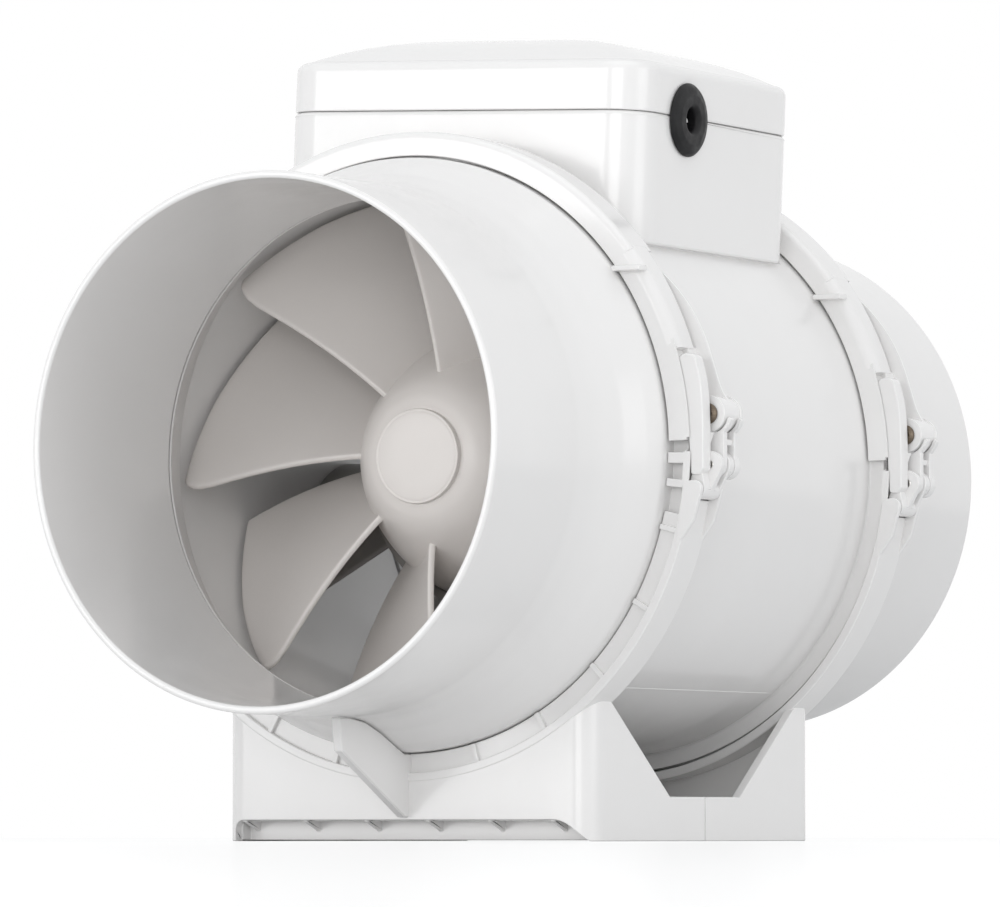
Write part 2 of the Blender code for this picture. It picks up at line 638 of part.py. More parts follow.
def make_terminals():
    """Terminal block with its screws, run capacitor and the clamp that grips a cable."""
    base_z = 93.4 * MM
    terminal = block("terminal_block", (-14 * MM, -28 * MM, base_z), (14 * MM, 16 * MM, base_z + 11 * MM))
    wells = [rod("well", (x * MM, y * MM, base_z + 5 * MM), (x * MM, y * MM, base_z + 14 * MM), 2.6 * MM, 12)
             for x in (-8, 8) for y in (-20, -6, 8)]
    combine(terminal, merge_meshes("terminal_wells", wells), "DIFFERENCE", block_axis)
    place(terminal, block_axis, "grey")
    for i, (x, y) in enumerate([(x, y) for x in (-8, 8) for y in (-20, -6, 8)]):
        screw = rod(f"terminal_screw_{i + 1}", (x * MM, y * MM, base_z + 5.3 * MM),
                    (x * MM, y * MM, base_z + 9 * MM), 2.2 * MM, 12)
        place(screw, block_axis, "steel")
    capacitor = rod("run_capacitor", (-33 * MM, -20 * MM, 98.3 * MM), (-33 * MM, 30 * MM, 98.3 * MM), 9.4 * MM, 24)
    place(capacitor, block_axis, "grey")
    clamp = block("cable_clamp", (32 * MM, GROMMET_Y - 10 * MM, 101.5 * MM),
                  (40 * MM, GROMMET_Y + 10 * MM, 105 * MM))
    place(clamp, block_axis, "satin")
    saddle = block("cable_saddle", (32 * MM, GROMMET_Y - 10 * MM, 89.5 * MM),
                   (40 * MM, GROMMET_Y + 10 * MM, 95.5 * MM))
    place(saddle, block_axis, "satin")


def make_inlet_ring():
    """The bellmouth that leads the air from the spigot to the blades."""
    profile = [(86.4, -64.0), (82.6, -73.0), (78.4, -81.2), (76.4, -82.0), (80.8, -72.0), (84.9, -63.6)]
    profile = [(r * MM, v * MM) for r, v in profile]
    return place(turned("inlet_ring", profile), block_axis, "satin")


# ---------------------------------------------------------------- guide vanes and motor

def vane_sheet(angle, radii, start_y, length, twist):
    """Corner rows of one guide vane: it starts slanted and straightens along the duct."""
    rows = []
    for r in radii:
        row = []
        for i in range(5):
            t = i / 4
            turn = math.radians(angle + twist * (1 - t) ** 2)
            row.append((r * math.cos(turn), start_y + length * t, r * math.sin(turn)))
        rows.append(row)
    return rows


def sheet_solid(name, rows, thickness):
    """A thin blade from rows of points, thickened on both sides."""
    bm = bmesh.new()
    grid = [[bm.verts.new(p) for p in row] for row in rows]
    for low, high in zip(grid, grid[1:]):
        for i in range(len(low) - 1):
            bm.faces.new((low[i], low[i + 1], high[i + 1], high[i]))
    bmesh.ops.recalc_face_normals(bm, faces=bm.faces)
    bm.normal_update()
    top = {v: bm.verts.new(v.co + v.normal * thickness / 2) for v in bm.verts[:]}
    for v in top:
        v.co -= v.normal * thickness / 2
    for face in bm.faces[:]:
        bm.faces.new([top[v] for v in reversed(face.verts)])
    for edge in bm.edges[:]:
        if edge.is_boundary and edge.verts[0] in top and edge.verts[1] in top:
            a, b = edge.verts
            bm.faces.new((a, b, top[b], top[a]))
    return mesh_object(name, bm, 35)


def make_guide_vanes():
    """A stationary hub that holds the motor, with vanes out to the casing."""
    profile = [(12.0, 79.0), (24.0, 74.0), (36.0, 64.0), (43.0, 52.0), (46.0, 38.0), (46.0, -16.5), (43.0, -16.5),
               (43.0, 40.0), (42.3, 46.0), (8.0, 46.0), (8.0, 49.0), (40.0, 49.0), (33.5, 61.0), (22.5, 70.5),
               (12.0, 75.5)]
    hub = turned("guide_vanes", [(r * MM, v * MM) for r, v in profile], 26)
    vanes = []
    for i in range(VANE_COUNT):
        rows = vane_sheet(20 + 360 * i / VANE_COUNT, [r * MM for r in (44.8, 64, 86.5)], -8 * MM, 50 * MM, 32)
        vanes.append(sheet_solid("vane", rows, 1.8 * MM))
    combine(hub, merge_meshes("vane_blades", vanes), "UNION", block_axis)
    place(hub, block_axis, "satin")
    place(rod_y("tail_plug", (0, 0), 11.7 * MM, 75.0 * MM, 79.6 * MM, 24), block_axis, "satin")


def make_motor():
    """Induction motor: can, end cap, stator, windings and two bearings."""
    rings = {
        "motor_can": ("grey", [(41.0, 45.6), (42.0, 40.0), (42.0, -14.0), (39.6, -14.0), (39.6, 35.0),
                               (38.6, 41.2), (11.3, 41.2), (11.3, 45.6)]),
        "motor_end_cap": ("grey", [(42.0, -14.3), (42.0, -17.0), (11.3, -17.0), (11.3, -14.3)]),
        "stator_core": ("steel", [(39.2, 29.0), (39.2, -3.0), (20.9, -3.0), (20.9, 29.0)]),
        "winding_rear": ("copper", [(34.0, 39.5), (37.0, 36.0), (37.0, 29.3), (23.0, 29.3), (23.0, 36.0),
                                    (26.0, 39.5)]),
        "winding_front": ("copper", [(37.0, -3.3), (37.0, -9.0), (34.0, -12.5), (26.0, -12.5), (23.0, -9.0),
                                     (23.0, -3.3)]),
        "bearing_front": ("steel", [(11.0, -14.0), (11.0, -18.6), (4.3, -18.6), (4.3, -14.0)]),
        "bearing_rear": ("steel", [(11.0, 45.4), (11.0, 40.8), (4.3, 40.8), (4.3, 45.4)]),
    }
    for name, (kind, profile) in rings.items():
        place(turned(name, [(r * MM, v * MM) for r, v in profile], 24), block_axis, kind)


# ---------------------------------------------------------------- impeller body

def blade_rows(angle):
    """One mixed-flow blade: its leading edge is nearly radial and it runs back as it sweeps round."""
    rows = []
    for k in range(3):
        span = k / 2
        row = []
        for i in range(5):
            chord = i / 4
            depth = 40 - (BLADE_SET_BACK - BLADE_REAR_RISE) * (1 - span)
            y = (-64.5 + BLADE_SET_BACK * (1 - span) + depth * chord ** 1.05) * MM
            hub_r = hub_radius_at(y) - 1.2 * MM
            tip_r = BLADE_TIP_FRONT_R + (BLADE_TIP_REAR_R - BLADE_TIP_FRONT_R) * min(1.0, chord * 2)
            r = hub_r + (tip_r - hub_r) * span
            turn = math.radians(angle + BLADE_SWEEP * span - 41 * chord)
            row.append((r * math.cos(turn), y, r * math.sin(turn)))
        rows.append(row)
    return rows


HUB_PROFILE = [(14.1, -62.5), (19.5, -60.5), (25.0, -55.0), (33.0, -42.0),
               (HUB_R / MM, -20.0)]


def hub_radius_at(y):
    """Radius of the hub's outer surface at a distance along the duct."""
    y = y / MM
    for (r0, y0), (r1, y1) in zip(HUB_PROFILE, HUB_PROFILE[1:]):
        if y <= y1:
            return (r0 + (r1 - r0) * max(0.0, (y - y0) / (y1 - y0))) * MM
    return HUB_R


def make_impeller():
    inner = [(8.0, -62.5), (8.0, -57.5), (4.3, -57.5), (4.3, -30.0), (10.0, -30.0), (10.0, -50.0), (20.0, -52.0),
             (34.0, -33.0), (39.8, -20.0)]
    outer_down = list(reversed(HUB_PROFILE))
    profile = outer_down + inner
    hub = turned("impeller", [(r * MM, v * MM) for r, v in profile], 26)
    blades = [sheet_solid("blade", blade_rows(BLADE_FIRST + 45 * i), 2.0 * MM) for i in range(BLADE_COUNT)]
    combine(hub, merge_meshes("impeller_blades", blades), "UNION", spin_axis)
    place(hub, spin_axis, "satin")
    cap = rod_y("hub_cap", (0, 0), HUB_CAP_R, HUB_FRONT_Y - 1.5 * MM, -62.8 * MM, 32)
    place(cap, spin_axis, "satin")
    nut = rod_y("impeller_nut", (0, 0), 6.5 * MM, -62.0 * MM, -57.8 * MM, 6)
    combine(nut, rod_y("nut_bore", (0, 0), SHAFT_R + GAP, -63 * MM, -56 * MM), "DIFFERENCE", spin_axis)
    place(nut, spin_axis, "steel")
    place(rod_y("shaft", (0, 0), SHAFT_R, -62.2 * MM, 47 * MM), spin_axis, "steel")
    rotor = turned("rotor_core", [(r * MM, v * MM) for r, v in
                                  [(20.3, 28.0), (20.3, -2.0), (4.3, -2.0), (4.3, 28.0)]], 24)
    place(rotor, spin_axis, "steel")


# ---------------------------------------------------------------- clamps

def band_section(y_middle):
    half = CLAMP_HALF
    wall = 1.7 * MM
    return [(90.1 * MM, y_middle - half), (97.3 * MM, y_middle - half), (97.3 * MM, y_middle + half),
            (90.1 * MM, y_middle + half), (90.1 * MM, y_middle + half - wall), (95.0 * MM, y_middle + half - wall),
            (95.0 * MM, y_middle - half + wall), (90.1 * MM, y_middle - half + wall)]


def make_band(prefix, y_middle, parent):
    """Channel-section upper clamp: hinge eye at -X, catch barrel at +X."""
    band = arc_solid(f"{prefix}_band", band_section(y_middle), 1.1, 175.0, 22)
    low, high = y_middle - 9 * MM, y_middle - 0.15 * MM
    window = arc_solid(f"{prefix}_window", [(96.0 * MM, low), (99 * MM, low), (99 * MM, high), (96.0 * MM, high)],
                       -2.0, 18.6, 4)
    combine(band, window, "DIFFERENCE", parent)
    eye = hull([(-95.6 * MM, 22 * MM), (-95.4 * MM, 9 * MM)] + circle_points(HINGE, 5.0 * MM))
    ear = outline_plate(f"{prefix}_band_ear", eye, y_middle - 4.9 * MM, y_middle + 4.9 * MM)
    combine(band, ear, "UNION", parent)
    arm = hull([(80.4 * MM, 53.5 * MM), (86.0 * MM, 48.0 * MM), (91.4 * MM, 41.0 * MM), (95.6 * MM, 33.0 * MM),
                (98.4 * MM, 25.0 * MM), (91.0 * MM, 12.0 * MM)] + circle_points(CATCH, CATCH_R - 0.1 * MM))
    lip = block(f"{prefix}_lip", (89.8 * MM, y_middle - 8.6 * MM, -0.6 * MM), (96.6 * MM, y_middle - 6 * MM, 0.6 * MM))
    lip.data.transform(Matrix.Rotation(-math.radians(37.6), 4, "Y"))
    combine(band, lip, "UNION", parent)
    combine(band, outline_plate(f"{prefix}_arm", arm, y_middle + 5.4 * MM, y_middle + 6.8 * MM), "UNION", parent)
    combine(band, rod_y(f"{prefix}_barrel", CATCH, CATCH_R, y_middle, y_middle + 11.0 * MM, 16), "UNION", parent)
    collar = rod_y(f"{prefix}_collar", CATCH, 6.1 * MM, y_middle + 9.9 * MM, y_middle + 11.1 * MM, 16)
    combine(band, collar, "UNION", parent)
    under = arc_solid(f"{prefix}_under", [(89.0 * MM, y_middle - 6 * MM), (94.9 * MM, y_middle - 6 * MM),
                                          (94.9 * MM, y_middle + 5.2 * MM), (89.0 * MM, y_middle + 5.2 * MM)],
                      -3.0, 22.0, 6)
    combine(band, under, "DIFFERENCE", parent)
    holes = [rod_y("hinge_hole", HINGE, 1.9 * MM, y_middle - 8 * MM, y_middle + 8 * MM),
             rod_y("catch_hole", CATCH, 1.7 * MM, y_middle - 8 * MM, y_middle + 4.8 * MM)]
    combine(band, merge_meshes(f"{prefix}_band_holes", holes), "DIFFERENCE", parent)
    place(band, parent, "gloss")
    make_screw(f"{prefix}_catch_screw", (CATCH[0], y_middle + 4.5 * MM, CATCH[1]),
               (CATCH[0], y_middle - 0.2 * MM, CATCH[1]), 1.4 * MM, 3.1 * MM, 0.9 * MM, parent)


def make_lever(prefix, y_middle, parent):
    """Hand lever: a bar up the side of the band, a boss between the cradle's lugs, and a knuckle for the link."""
    outline = [(97.0, -8.8), (96.4, 1.0), (95.8, 10.6), (94.4, 20.0), (92.5, 28.4), (94.5, 29.6), (97.5, 29.0),
               (99.0, 26.0), (100.2, 20.0), (101.0, 14.0), (101.3, 5.0), (101.3, -6.0), (100.2, -8.8)]
    lever = outline_plate(f"{prefix}_lever", [(x * MM, z * MM) for x, z in outline],
                          y_middle - 6.4 * MM, y_middle - 1.3 * MM)
    boss_r = LUG_R - 0.1 * MM
    neck = hull(circle_points(LEVER_PIVOT, boss_r) + [(97.0 * MM, -7.5 * MM), (100.2 * MM, -7.5 * MM)])
    combine(lever, outline_plate(f"{prefix}_neck", neck, y_middle - 5.1 * MM, y_middle - 1.2 * MM), "UNION", parent)
    combine(lever, rod_y(f"{prefix}_boss", LEVER_PIVOT, boss_r, y_middle - 5.0 * MM, y_middle + 5.0 * MM), "UNION",
            parent)
    crank = hull(circle_points(LEVER_PIVOT, boss_r - 0.1 * MM) + circle_points(LINK_PIVOT, KNUCKLE_R))
    sides = [outline_plate("crank_side", crank, y_middle + low * MM, y_middle + high * MM)
             for low, high in ((-1.5, 0.9), (3.6, 5.1))]
    combine(lever, merge_meshes(f"{prefix}_crank", sides), "UNION", parent)
    knuckle = rod_y(f"{prefix}_knuckle", LINK_PIVOT, KNUCKLE_R - 0.1 * MM, y_middle + 3.8 * MM, y_middle + 7.2 * MM)
    combine(lever, knuckle, "UNION", parent)
    holes = [rod_y("lever_hole", LEVER_PIVOT, 1.8 * MM, y_middle - 8 * MM, y_middle + 8 * MM),
             rod_y("link_hole", LINK_PIVOT, 1.5 * MM, y_middle - 1.9 * MM, y_middle + 8 * MM)]
    combine(lever, merge_meshes(f"{prefix}_lever_holes", holes), "DIFFERENCE", parent)
    place(lever, parent, "gloss")
    place(rod_y(f"{prefix}_link_pin", LINK_PIVOT, 1.2 * MM, y_middle - 1.2 * MM, y_middle + 10.8 * MM), parent,
          "steel")


def make_link(prefix, y_middle, parent):
    """Double hook that reaches from the lever's knuckle round the outer side of the catch barrel."""
    outline = circle_points(CATCH, 7.1 * MM, -14, -50, 6)
    outline += circle_points(LINK_PIVOT, 3.6 * MM, 0, -180, 9)
    outline += circle_points(CATCH, 5.8 * MM, -78, -14, 8)
    link = outline_plate(f"{prefix}_link", outline, y_middle + 1.1 * MM, y_middle + 3.4 * MM)
    rear = outline_plate(f"{prefix}_rear_hook", outline, y_middle + 7.5 * MM, y_middle + 9.6 * MM)
    combine(link, rear, "UNION", parent)
    combine(link, rod_y(f"{prefix}_eye", LINK_PIVOT, KNUCKLE_R, y_middle + 7.4 * MM, y_middle + 11.0 * MM), "UNION",
            parent)
    bridge = block(f"{prefix}_bridge", (101.2 * MM, y_middle + 2.0 * MM, 0.6 * MM),
                   (103.4 * MM, y_middle + 9.0 * MM, 2.4 * MM))
    combine(link, bridge, "UNION", parent)
    hole = rod_y(f"{prefix}_link_hole", LINK_PIVOT, 1.5 * MM, y_middle - 8 * MM, y_middle + 12 * MM)
    combine(link, hole, "DIFFERENCE", parent)
    place(link, parent, "gloss")


def make_clamp(prefix, side):
    y_middle = side * CLAMP_V
    band_axis = joint_pivot(f"{prefix}_band_axis", (HINGE[0], y_middle, HINGE[1]))
    lever_axis = joint_pivot(f"{prefix}_lever_axis", (LEVER_PIVOT[0], y_middle, LEVER_PIVOT[1]))
    link_axis = joint_pivot(f"{prefix}_link_axis", (LINK_PIVOT[0], y_middle, LINK_PIVOT[1]))
    make_band(prefix, y_middle, band_axis)
    make_lever(prefix, y_middle, lever_axis)
    make_link(prefix, y_middle, link_axis)
    for name, centre, radius, reach in (("hinge_pin", HINGE, 1.6 * MM, 7.4 * MM),
                                        ("lever_pin", LEVER_PIVOT, 1.5 * MM, 6.3 * MM)):
        place(rod_y(f"{prefix}_{name}", centre, radius, y_middle - reach, y_middle + reach), duct_axis, "steel")


def joint_pivot(name, point):
    """A pivot drawn at a point given from the duct axis."""
    empty = pivot(name, point, duct_axis)
    empty["drawn_from"] = point
    return empty


# ---------------------------------------------------------------- the whole fan

clear_scene()
parts = new_collection("extractor_fan")
cutters = new_collection("cutters")

duct_axis = pivot("duct_axis", (0, 0, AXIS_HEIGHT))
duct_axis["drawn_from"] = (0.0, 0.0, 0.0)
block_axis = pivot("motor_block_axis", (0, 0, 0), duct_axis)
block_axis.rotation_euler = (0, BLOCK_LEAN, 0)
block_axis["drawn_from"] = (0.0, 0.0, 0.0)
spin_axis = pivot("impeller_axis", (0, 0, 0), block_axis)
spin_axis["drawn_from"] = (0.0, 0.0, 0.0)

make_spigot("inlet_spigot", -1)
make_spigot("outlet_spigot", 1)
make_base("inlet_base", -1)
make_base("outlet_base", 1)
make_seal("inlet_seal", -1)
make_seal("outlet_seal", 1)
for number, screw_x in enumerate((-40 * MM, 40 * MM)):
    screw_z = 7.5 * MM - AXIS_HEIGHT
    make_screw(f"base_screw_{number + 1}", (screw_x, -6 * MM, screw_z), (screw_x, 3.3 * MM, screw_z), 2.0 * MM,
               3.8 * MM, 2.4 * MM, duct_axis)
make_casing()
make_lid()
make_lid_screws()
make_grommet()
make_terminals()
make_inlet_ring()
make_guide_vanes()
make_motor()
make_impeller()
make_clamp("front", -1)
make_clamp("rear", 1)
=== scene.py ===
"""Looks of the inline mixed-flow extractor fan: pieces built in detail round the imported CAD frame.

Shapes are drawn in millimetres from the duct axis (x, y along the duct, z up) and scaled when placed.
"""

import math

import bmesh
import bpy
from mathutils import Matrix, Vector
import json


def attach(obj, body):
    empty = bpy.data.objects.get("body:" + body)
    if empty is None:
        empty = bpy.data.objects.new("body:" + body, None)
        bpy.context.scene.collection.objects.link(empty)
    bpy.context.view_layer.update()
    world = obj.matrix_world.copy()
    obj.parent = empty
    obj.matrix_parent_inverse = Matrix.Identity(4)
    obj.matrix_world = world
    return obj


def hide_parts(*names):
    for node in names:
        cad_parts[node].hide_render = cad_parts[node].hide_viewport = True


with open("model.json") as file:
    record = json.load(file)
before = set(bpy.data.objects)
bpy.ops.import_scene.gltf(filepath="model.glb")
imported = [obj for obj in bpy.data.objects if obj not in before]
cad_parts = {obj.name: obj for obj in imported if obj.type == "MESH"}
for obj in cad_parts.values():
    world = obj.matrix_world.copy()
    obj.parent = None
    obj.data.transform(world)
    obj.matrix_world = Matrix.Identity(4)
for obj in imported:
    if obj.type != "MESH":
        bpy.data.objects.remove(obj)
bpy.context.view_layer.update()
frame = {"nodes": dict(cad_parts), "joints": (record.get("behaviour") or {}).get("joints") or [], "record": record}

MM = 0.001
LEAN = math.radians(2.5)  # the motor block's turn towards +X at rest
ROUND = 168  # steps of a full turn in the large pieces
SHARP = math.radians(42.0)  # edges sharper than this stay sharp in the shading

JOINTS = {j["name"]: Vector(j["pos_m"]) for j in frame["joints"]}
AXIS = JOINTS["block_turn"]
BODY_OF = {n: body for body, names in frame["record"]["behaviour"]["bodies"].items() for n in names}
SLOT_OF = {s["node"]: s["material_slot"] for s in frame["record"]["subparts"]}


# -------- outlines

def rounded(points, default=0.0):
    """Round the corners of a closed outline; a point may carry its own radius as a third number."""
    result = []
    count = len(points)
    for i in range(count):
        here = Vector(points[i][:2])
        before = Vector(points[i - 1][:2]) - here
        after = Vector(points[(i + 1) % count][:2]) - here
        radius = points[i][2] if len(points[i]) > 2 else default
        turn = math.pi - before.angle(after) if before.length and after.length else 0.0
        if radius <= 0.0 or turn < 0.02:
            result.append((here.x, here.y))
            continue
        reach = min(radius * math.tan(turn / 2), before.length * 0.48, after.length * 0.48)
        radius = reach / math.tan(turn / 2)
        start = here + before.normalized() * reach
        end = here + after.normalized() * reach
        inward = (before.normalized() + after.normalized()).normalized()
        middle = here + inward * math.hypot(reach, radius)
        steps = max(2, min(16, round(math.degrees(turn) / 14)))
        a = start - middle
        swing = a.angle_signed(end - middle)
        for k in range(steps + 1):
            spoke = a.copy()
            spoke.rotate(Matrix.Rotation(-swing * k / steps, 2))
            result.append(tuple(middle + spoke))
    return result


def arc_points(centre, radius, start, end, count):
    """Points on an arc between two angles in degrees, both ends included."""
    angles = [math.radians(start + (end - start) * i / (count - 1)) for i in range(count)]
    return [(centre[0] + radius * math.cos(a), centre[1] + radius * math.sin(a)) for a in angles]


def circle(centre, radius, count=32):
    return arc_points(centre, radius, 0.0, 360.0 * (count - 1) / count, count)


def convex(points):
    """The convex outline round some points, anticlockwise."""
    points = sorted(set((round(x, 5), round(y, 5)) for x, y in points))

    def half(sequence):
        chain = []
        for p in sequence:
            while len(chain) > 1:
                (ax, ay), (bx, by) = chain[-2], chain[-1]
                if (bx - ax) * (p[1] - ay) - (by - ay) * (p[0] - ax) > 0:
                    break
                chain.pop()
            chain.append(p)
        return chain[:-1]

    return half(points) + half(reversed(points))


def area(outline):
    return sum(a[0] * b[1] - b[0] * a[1] for a, b in zip(outline, outline[1:] + outline[:1])) / 2


def inset(outline, distance):
    """Move each point of a closed outline inwards along its own normal."""
    sign = 1 if area(outline) > 0 else -1
    count = len(outline)
    moved = []
    for i in range(count):
        a, b, c = (Vector(outline[(i + k) % count]) for k in (-1, 0, 1))
        before, after = (b - a), (c - b)
        if before.length < 1e-6 or after.length < 1e-6:
            moved.append(tuple(b))
            continue
        before.normalize()
        after.normalize()
        normal = Vector((-before.y - after.y, before.x + after.x))
        if normal.length < 1e-6:
            moved.append(tuple(b))
            continue
        normal.normalize()
        scale = 1.0 / max(0.35, normal.dot(Vector((-before.y, before.x))))
        moved.append(tuple(b + normal * distance * scale * sign))
    return unfolded(outline, moved)


def unfolded(outline, moved):
    """Draw together the points of a moved outline whose edges have turned back on themselves."""
    count = len(outline)

    def edge(points, i):
        return Vector(points[(i + 1) % count]) - Vector(points[i])

    back = [edge(outline, i).dot(edge(moved, i)) < 0 for i in range(count)]
    if all(back) or not any(back):
        return moved
    first = next(i for i in range(count) if back[i - 1] is False and back[i])
    i = 0
    while i < count:
        k = (first + i) % count
        if not back[k]:
            i += 1
            continue
        run = 0
        while back[(k + run) % count]:
            run += 1
        members = [(k + m) % count for m in range(run + 1)]
        middle = (Vector(moved[members[0]]) + Vector(moved[members[-1]])) / 2
        for m in members:
            moved[m] = tuple(middle)
        i += run + 1
    return moved


def smooth_curve(points):
    """Catmull-Rom curve through points, in six steps from one to the next."""
    vectors = [Vector(p) for p in points]
    vectors = [vectors[0] * 2 - vectors[1]] + vectors + [vectors[-1] * 2 - vectors[-2]]
    result = []
    for i in range(1, len(vectors) - 2):
        p0, p1, p2, p3 = vectors[i - 1:i + 3]
        for k in range(6):
            t = k / 6
            result.append(tuple(0.5 * (2 * p1 + (p2 - p0) * t + (2 * p0 - 5 * p1 + 4 * p2 - p3) * t * t
                                       + (3 * p1 - p0 - 3 * p2 + p3) * t ** 3)))
    result.append(tuple(vectors[-2]))
    return result


def rounded_box(half_x, front, rear, corner, per_corner=10):
    centres = [(half_x - corner, rear - corner, 0), (corner - half_x, rear - corner, 90),
               (corner - half_x, front + corner, 180), (half_x - corner, front + corner, 270)]
    points = []
    for cx, cy, first in centres:
        points += arc_points((cx, cy), corner, first, first + 90, per_corner)
    return points


# -------- solids

def skin(rings, closed=False):
    """A bmesh through rings of points of one length; its ends are capped, or joined if it is closed."""
    bm = bmesh.new()
    loops = [[bm.verts.new(p) for p in ring] for ring in rings]
    count = len(rings[0])
    pairs = list(zip(loops, loops[1:]))
    if closed:
        pairs.append((loops[-1], loops[0]))
    for low, high in pairs:
        for i in range(count):
            j = (i + 1) % count
            bm.faces.new((low[i], low[j], high[j], high[i]))
    if not closed:
        bm.faces.new(loops[0])
        bm.faces.new(loops[-1])
    bmesh.ops.remove_doubles(bm, verts=bm.verts, dist=0.0005)
    bmesh.ops.recalc_face_normals(bm, faces=bm.faces)
    return bm


def add_face(bm, corners):
    """Add a face without its repeated corners, if three are left."""
    corners = list(dict.fromkeys(corners))
    if len(corners) > 2:
        bm.faces.new(corners)


def lathe(profile, steps=ROUND):
    """Turn a closed (R, y) outline about the duct axis."""
    rings = []
    for i in range(steps):
        a = 2 * math.pi * i / steps
        rings.append([(r * math.cos(a), y, r * math.sin(a)) for r, y in profile])
    return skin(rings, closed=True)


def lathe_x(profile, centre, steps):
    """Turn a closed (R, x) outline about a line along X through the (y, z) centre."""
    rings = []
    for i in range(steps):
        a = 2 * math.pi * i / steps
        rings.append([(x, centre[0] + r * math.cos(a), centre[1] + r * math.sin(a)) for r, x in profile])
    return skin(rings, closed=True)


def spun(profile, steps):
    """A solid of revolution about Y whose open (R, y) line starts and ends on the axis."""
    bm = bmesh.new()
    rings = []
    for r, y in profile:
        if r < 1e-6:
            rings.append([bm.verts.new((0, y, 0))] * steps)
        else:
            rings.append([bm.verts.new((r * math.cos(2 * math.pi * i / steps), y,
                                        r * math.sin(2 * math.pi * i / steps))) for i in range(steps)])
    for low, high in zip(rings, rings[1:]):
        for i in range(steps):
            j = (i + 1) % steps
            add_face(bm, (low[i], low[j], high[j], high[i]))
    bmesh.ops.recalc_face_normals(bm, faces=bm.faces)
    return bm


def arc(section, start, end, steps, edge=0.0):
    """Sweep a closed (R, y) section round the duct axis between two angles; edge rounds its ends."""
    if edge > 0.0:
        middle_r = sum(r for r, y in section) / len(section)
        bend = math.degrees(edge / middle_r)
        ease = [(0.0, 1.0), (0.3, 0.3), (1.0, 0.0)]
        stations = [(start + bend * a, edge * b) for a, b in ease]
        stations += [(start + bend + (end - start - 2 * bend) * i / steps, 0.0) for i in range(1, steps)]
        stations += [(end - bend * a, edge * b) for a, b in reversed(ease)]
    else:
        stations = [(start + (end - start) * i / steps, 0.0) for i in range(steps + 1)]
    rings = []
    for angle, shrink in stations:
        a = math.radians(angle)
        ring = inset(section, shrink) if shrink else section
        rings.append([(r * math.cos(a), y, r * math.sin(a)) for r, y in ring])
    return skin(rings)


def plate(outline, low, high, edge=0.4):
    """A flat (x, z) outline between two y planes, with rounded rims."""
    edge = min(edge, (high - low) * 0.45)
    levels = [(low, 0.0), (high, 0.0)]
    if edge > 0.0:
        levels = [(low, edge), (low + edge * 0.3, edge * 0.3), (low + edge, 0.0), (high - edge, 0.0),
                  (high - edge * 0.3, edge * 0.3), (high, edge)]
    rings = []
    for y, shrink in levels:
        ring = inset(outline, shrink) if shrink else outline
        rings.append([(x, y, z) for x, z in ring])
    return skin(rings)


def box(low, high, edge=0.3):
    """A rectangular block with rounded edges."""
    (x0, y0, z0), (x1, y1, z1) = low, high
    outline = rounded([(x0, z0), (x1, z0), (x1, z1), (x0, z1)], edge)
    return plate(outline, y0, y1, edge)


def block(side, low, high, edge=0.0):
    """A box given for the outlet side; side -1 mirrors it to the inlet side."""
    near, far = sorted((side * low[1], side * high[1]))
    return box((low[0], near, low[2]), (high[0], far, high[2]), edge)


def post(centre, radius, low, high, steps):
    """An upright cylinder."""
    angles = [2 * math.pi * k / steps for k in range(steps)]
    return skin([[(centre[0] + radius * math.cos(a), centre[1] + radius * math.sin(a), z) for a in angles]
                 for z in (low, high)])


def drum(radius, start, end):
    """A cylinder round the duct axis."""
    return spun([(0.0, start), (radius, start), (radius, end), (0.0, end)], ROUND)


def oblong(inner, start, outer, end):
    """A rectangular (R, y) section, from its inner start to its outer end."""
    return [(inner, start), (outer, start), (outer, end), (inner, end)]


def turned_about(bm, angle):
    """Turn a shape drawn along +X about the duct axis, in degrees."""
    bmesh.ops.transform(bm, matrix=Matrix.Rotation(-math.radians(angle), 4, "Y"), verts=bm.verts)
    return bm


def joined(*shapes):
    """One mesh made of several closed shapes."""
    whole = bmesh.new()
    for bm in shapes:
        mesh = bpy.data.meshes.new("joining")
        bm.to_mesh(mesh)
        bm.free()
        whole.from_mesh(mesh)
        bpy.data.meshes.remove(mesh)
    return whole


def scratch(bm, name="scratch"):
    mesh = bpy.data.meshes.new(name)
    bm.to_mesh(mesh)
    bm.free()
    item = bpy.data.objects.new(name, mesh)
    bpy.context.scene.collection.objects.link(item)
    return item


def baked(item):
    """The mesh of an object with its modifiers applied. The object is removed."""
    bpy.context.view_layer.update()
    graph = bpy.context.evaluated_depsgraph_get()
    mesh = bpy.data.meshes.new_from_object(item.evaluated_get(graph))
    bpy.data.objects.remove(item)
    return mesh


def reshaped(item):
    """Like baked, but as a bmesh."""
    mesh = baked(item)
    bm = bmesh.new()
    bm.from_mesh(mesh)
    bpy.data.meshes.remove(mesh)
    return bm


def carve(body, steps):
    """Apply (operation, shape) Booleans in order to a shape; add and cut list them."""
    item = scratch(body)
    tools = []
    for operation, shape in steps:
        other = scratch(shape)
        tools.append(other)
        modifier = item.modifiers.new(operation, "BOOLEAN")
        modifier.operation = operation
        modifier.solver = "EXACT"
        modifier.object = other
    bm = reshaped(item)
    for other in tools:
        bpy.data.objects.remove(other)
    bmesh.ops.remove_doubles(bm, verts=bm.verts, dist=0.002)
    bmesh.ops.dissolve_limit(bm, angle_limit=math.radians(0.3), verts=bm.verts, edges=bm.edges)
    return bm


def add(*shapes):
    return [("UNION", shape) for shape in shapes]


def cut(*shapes):
    return [("DIFFERENCE", shape) for shape in shapes]


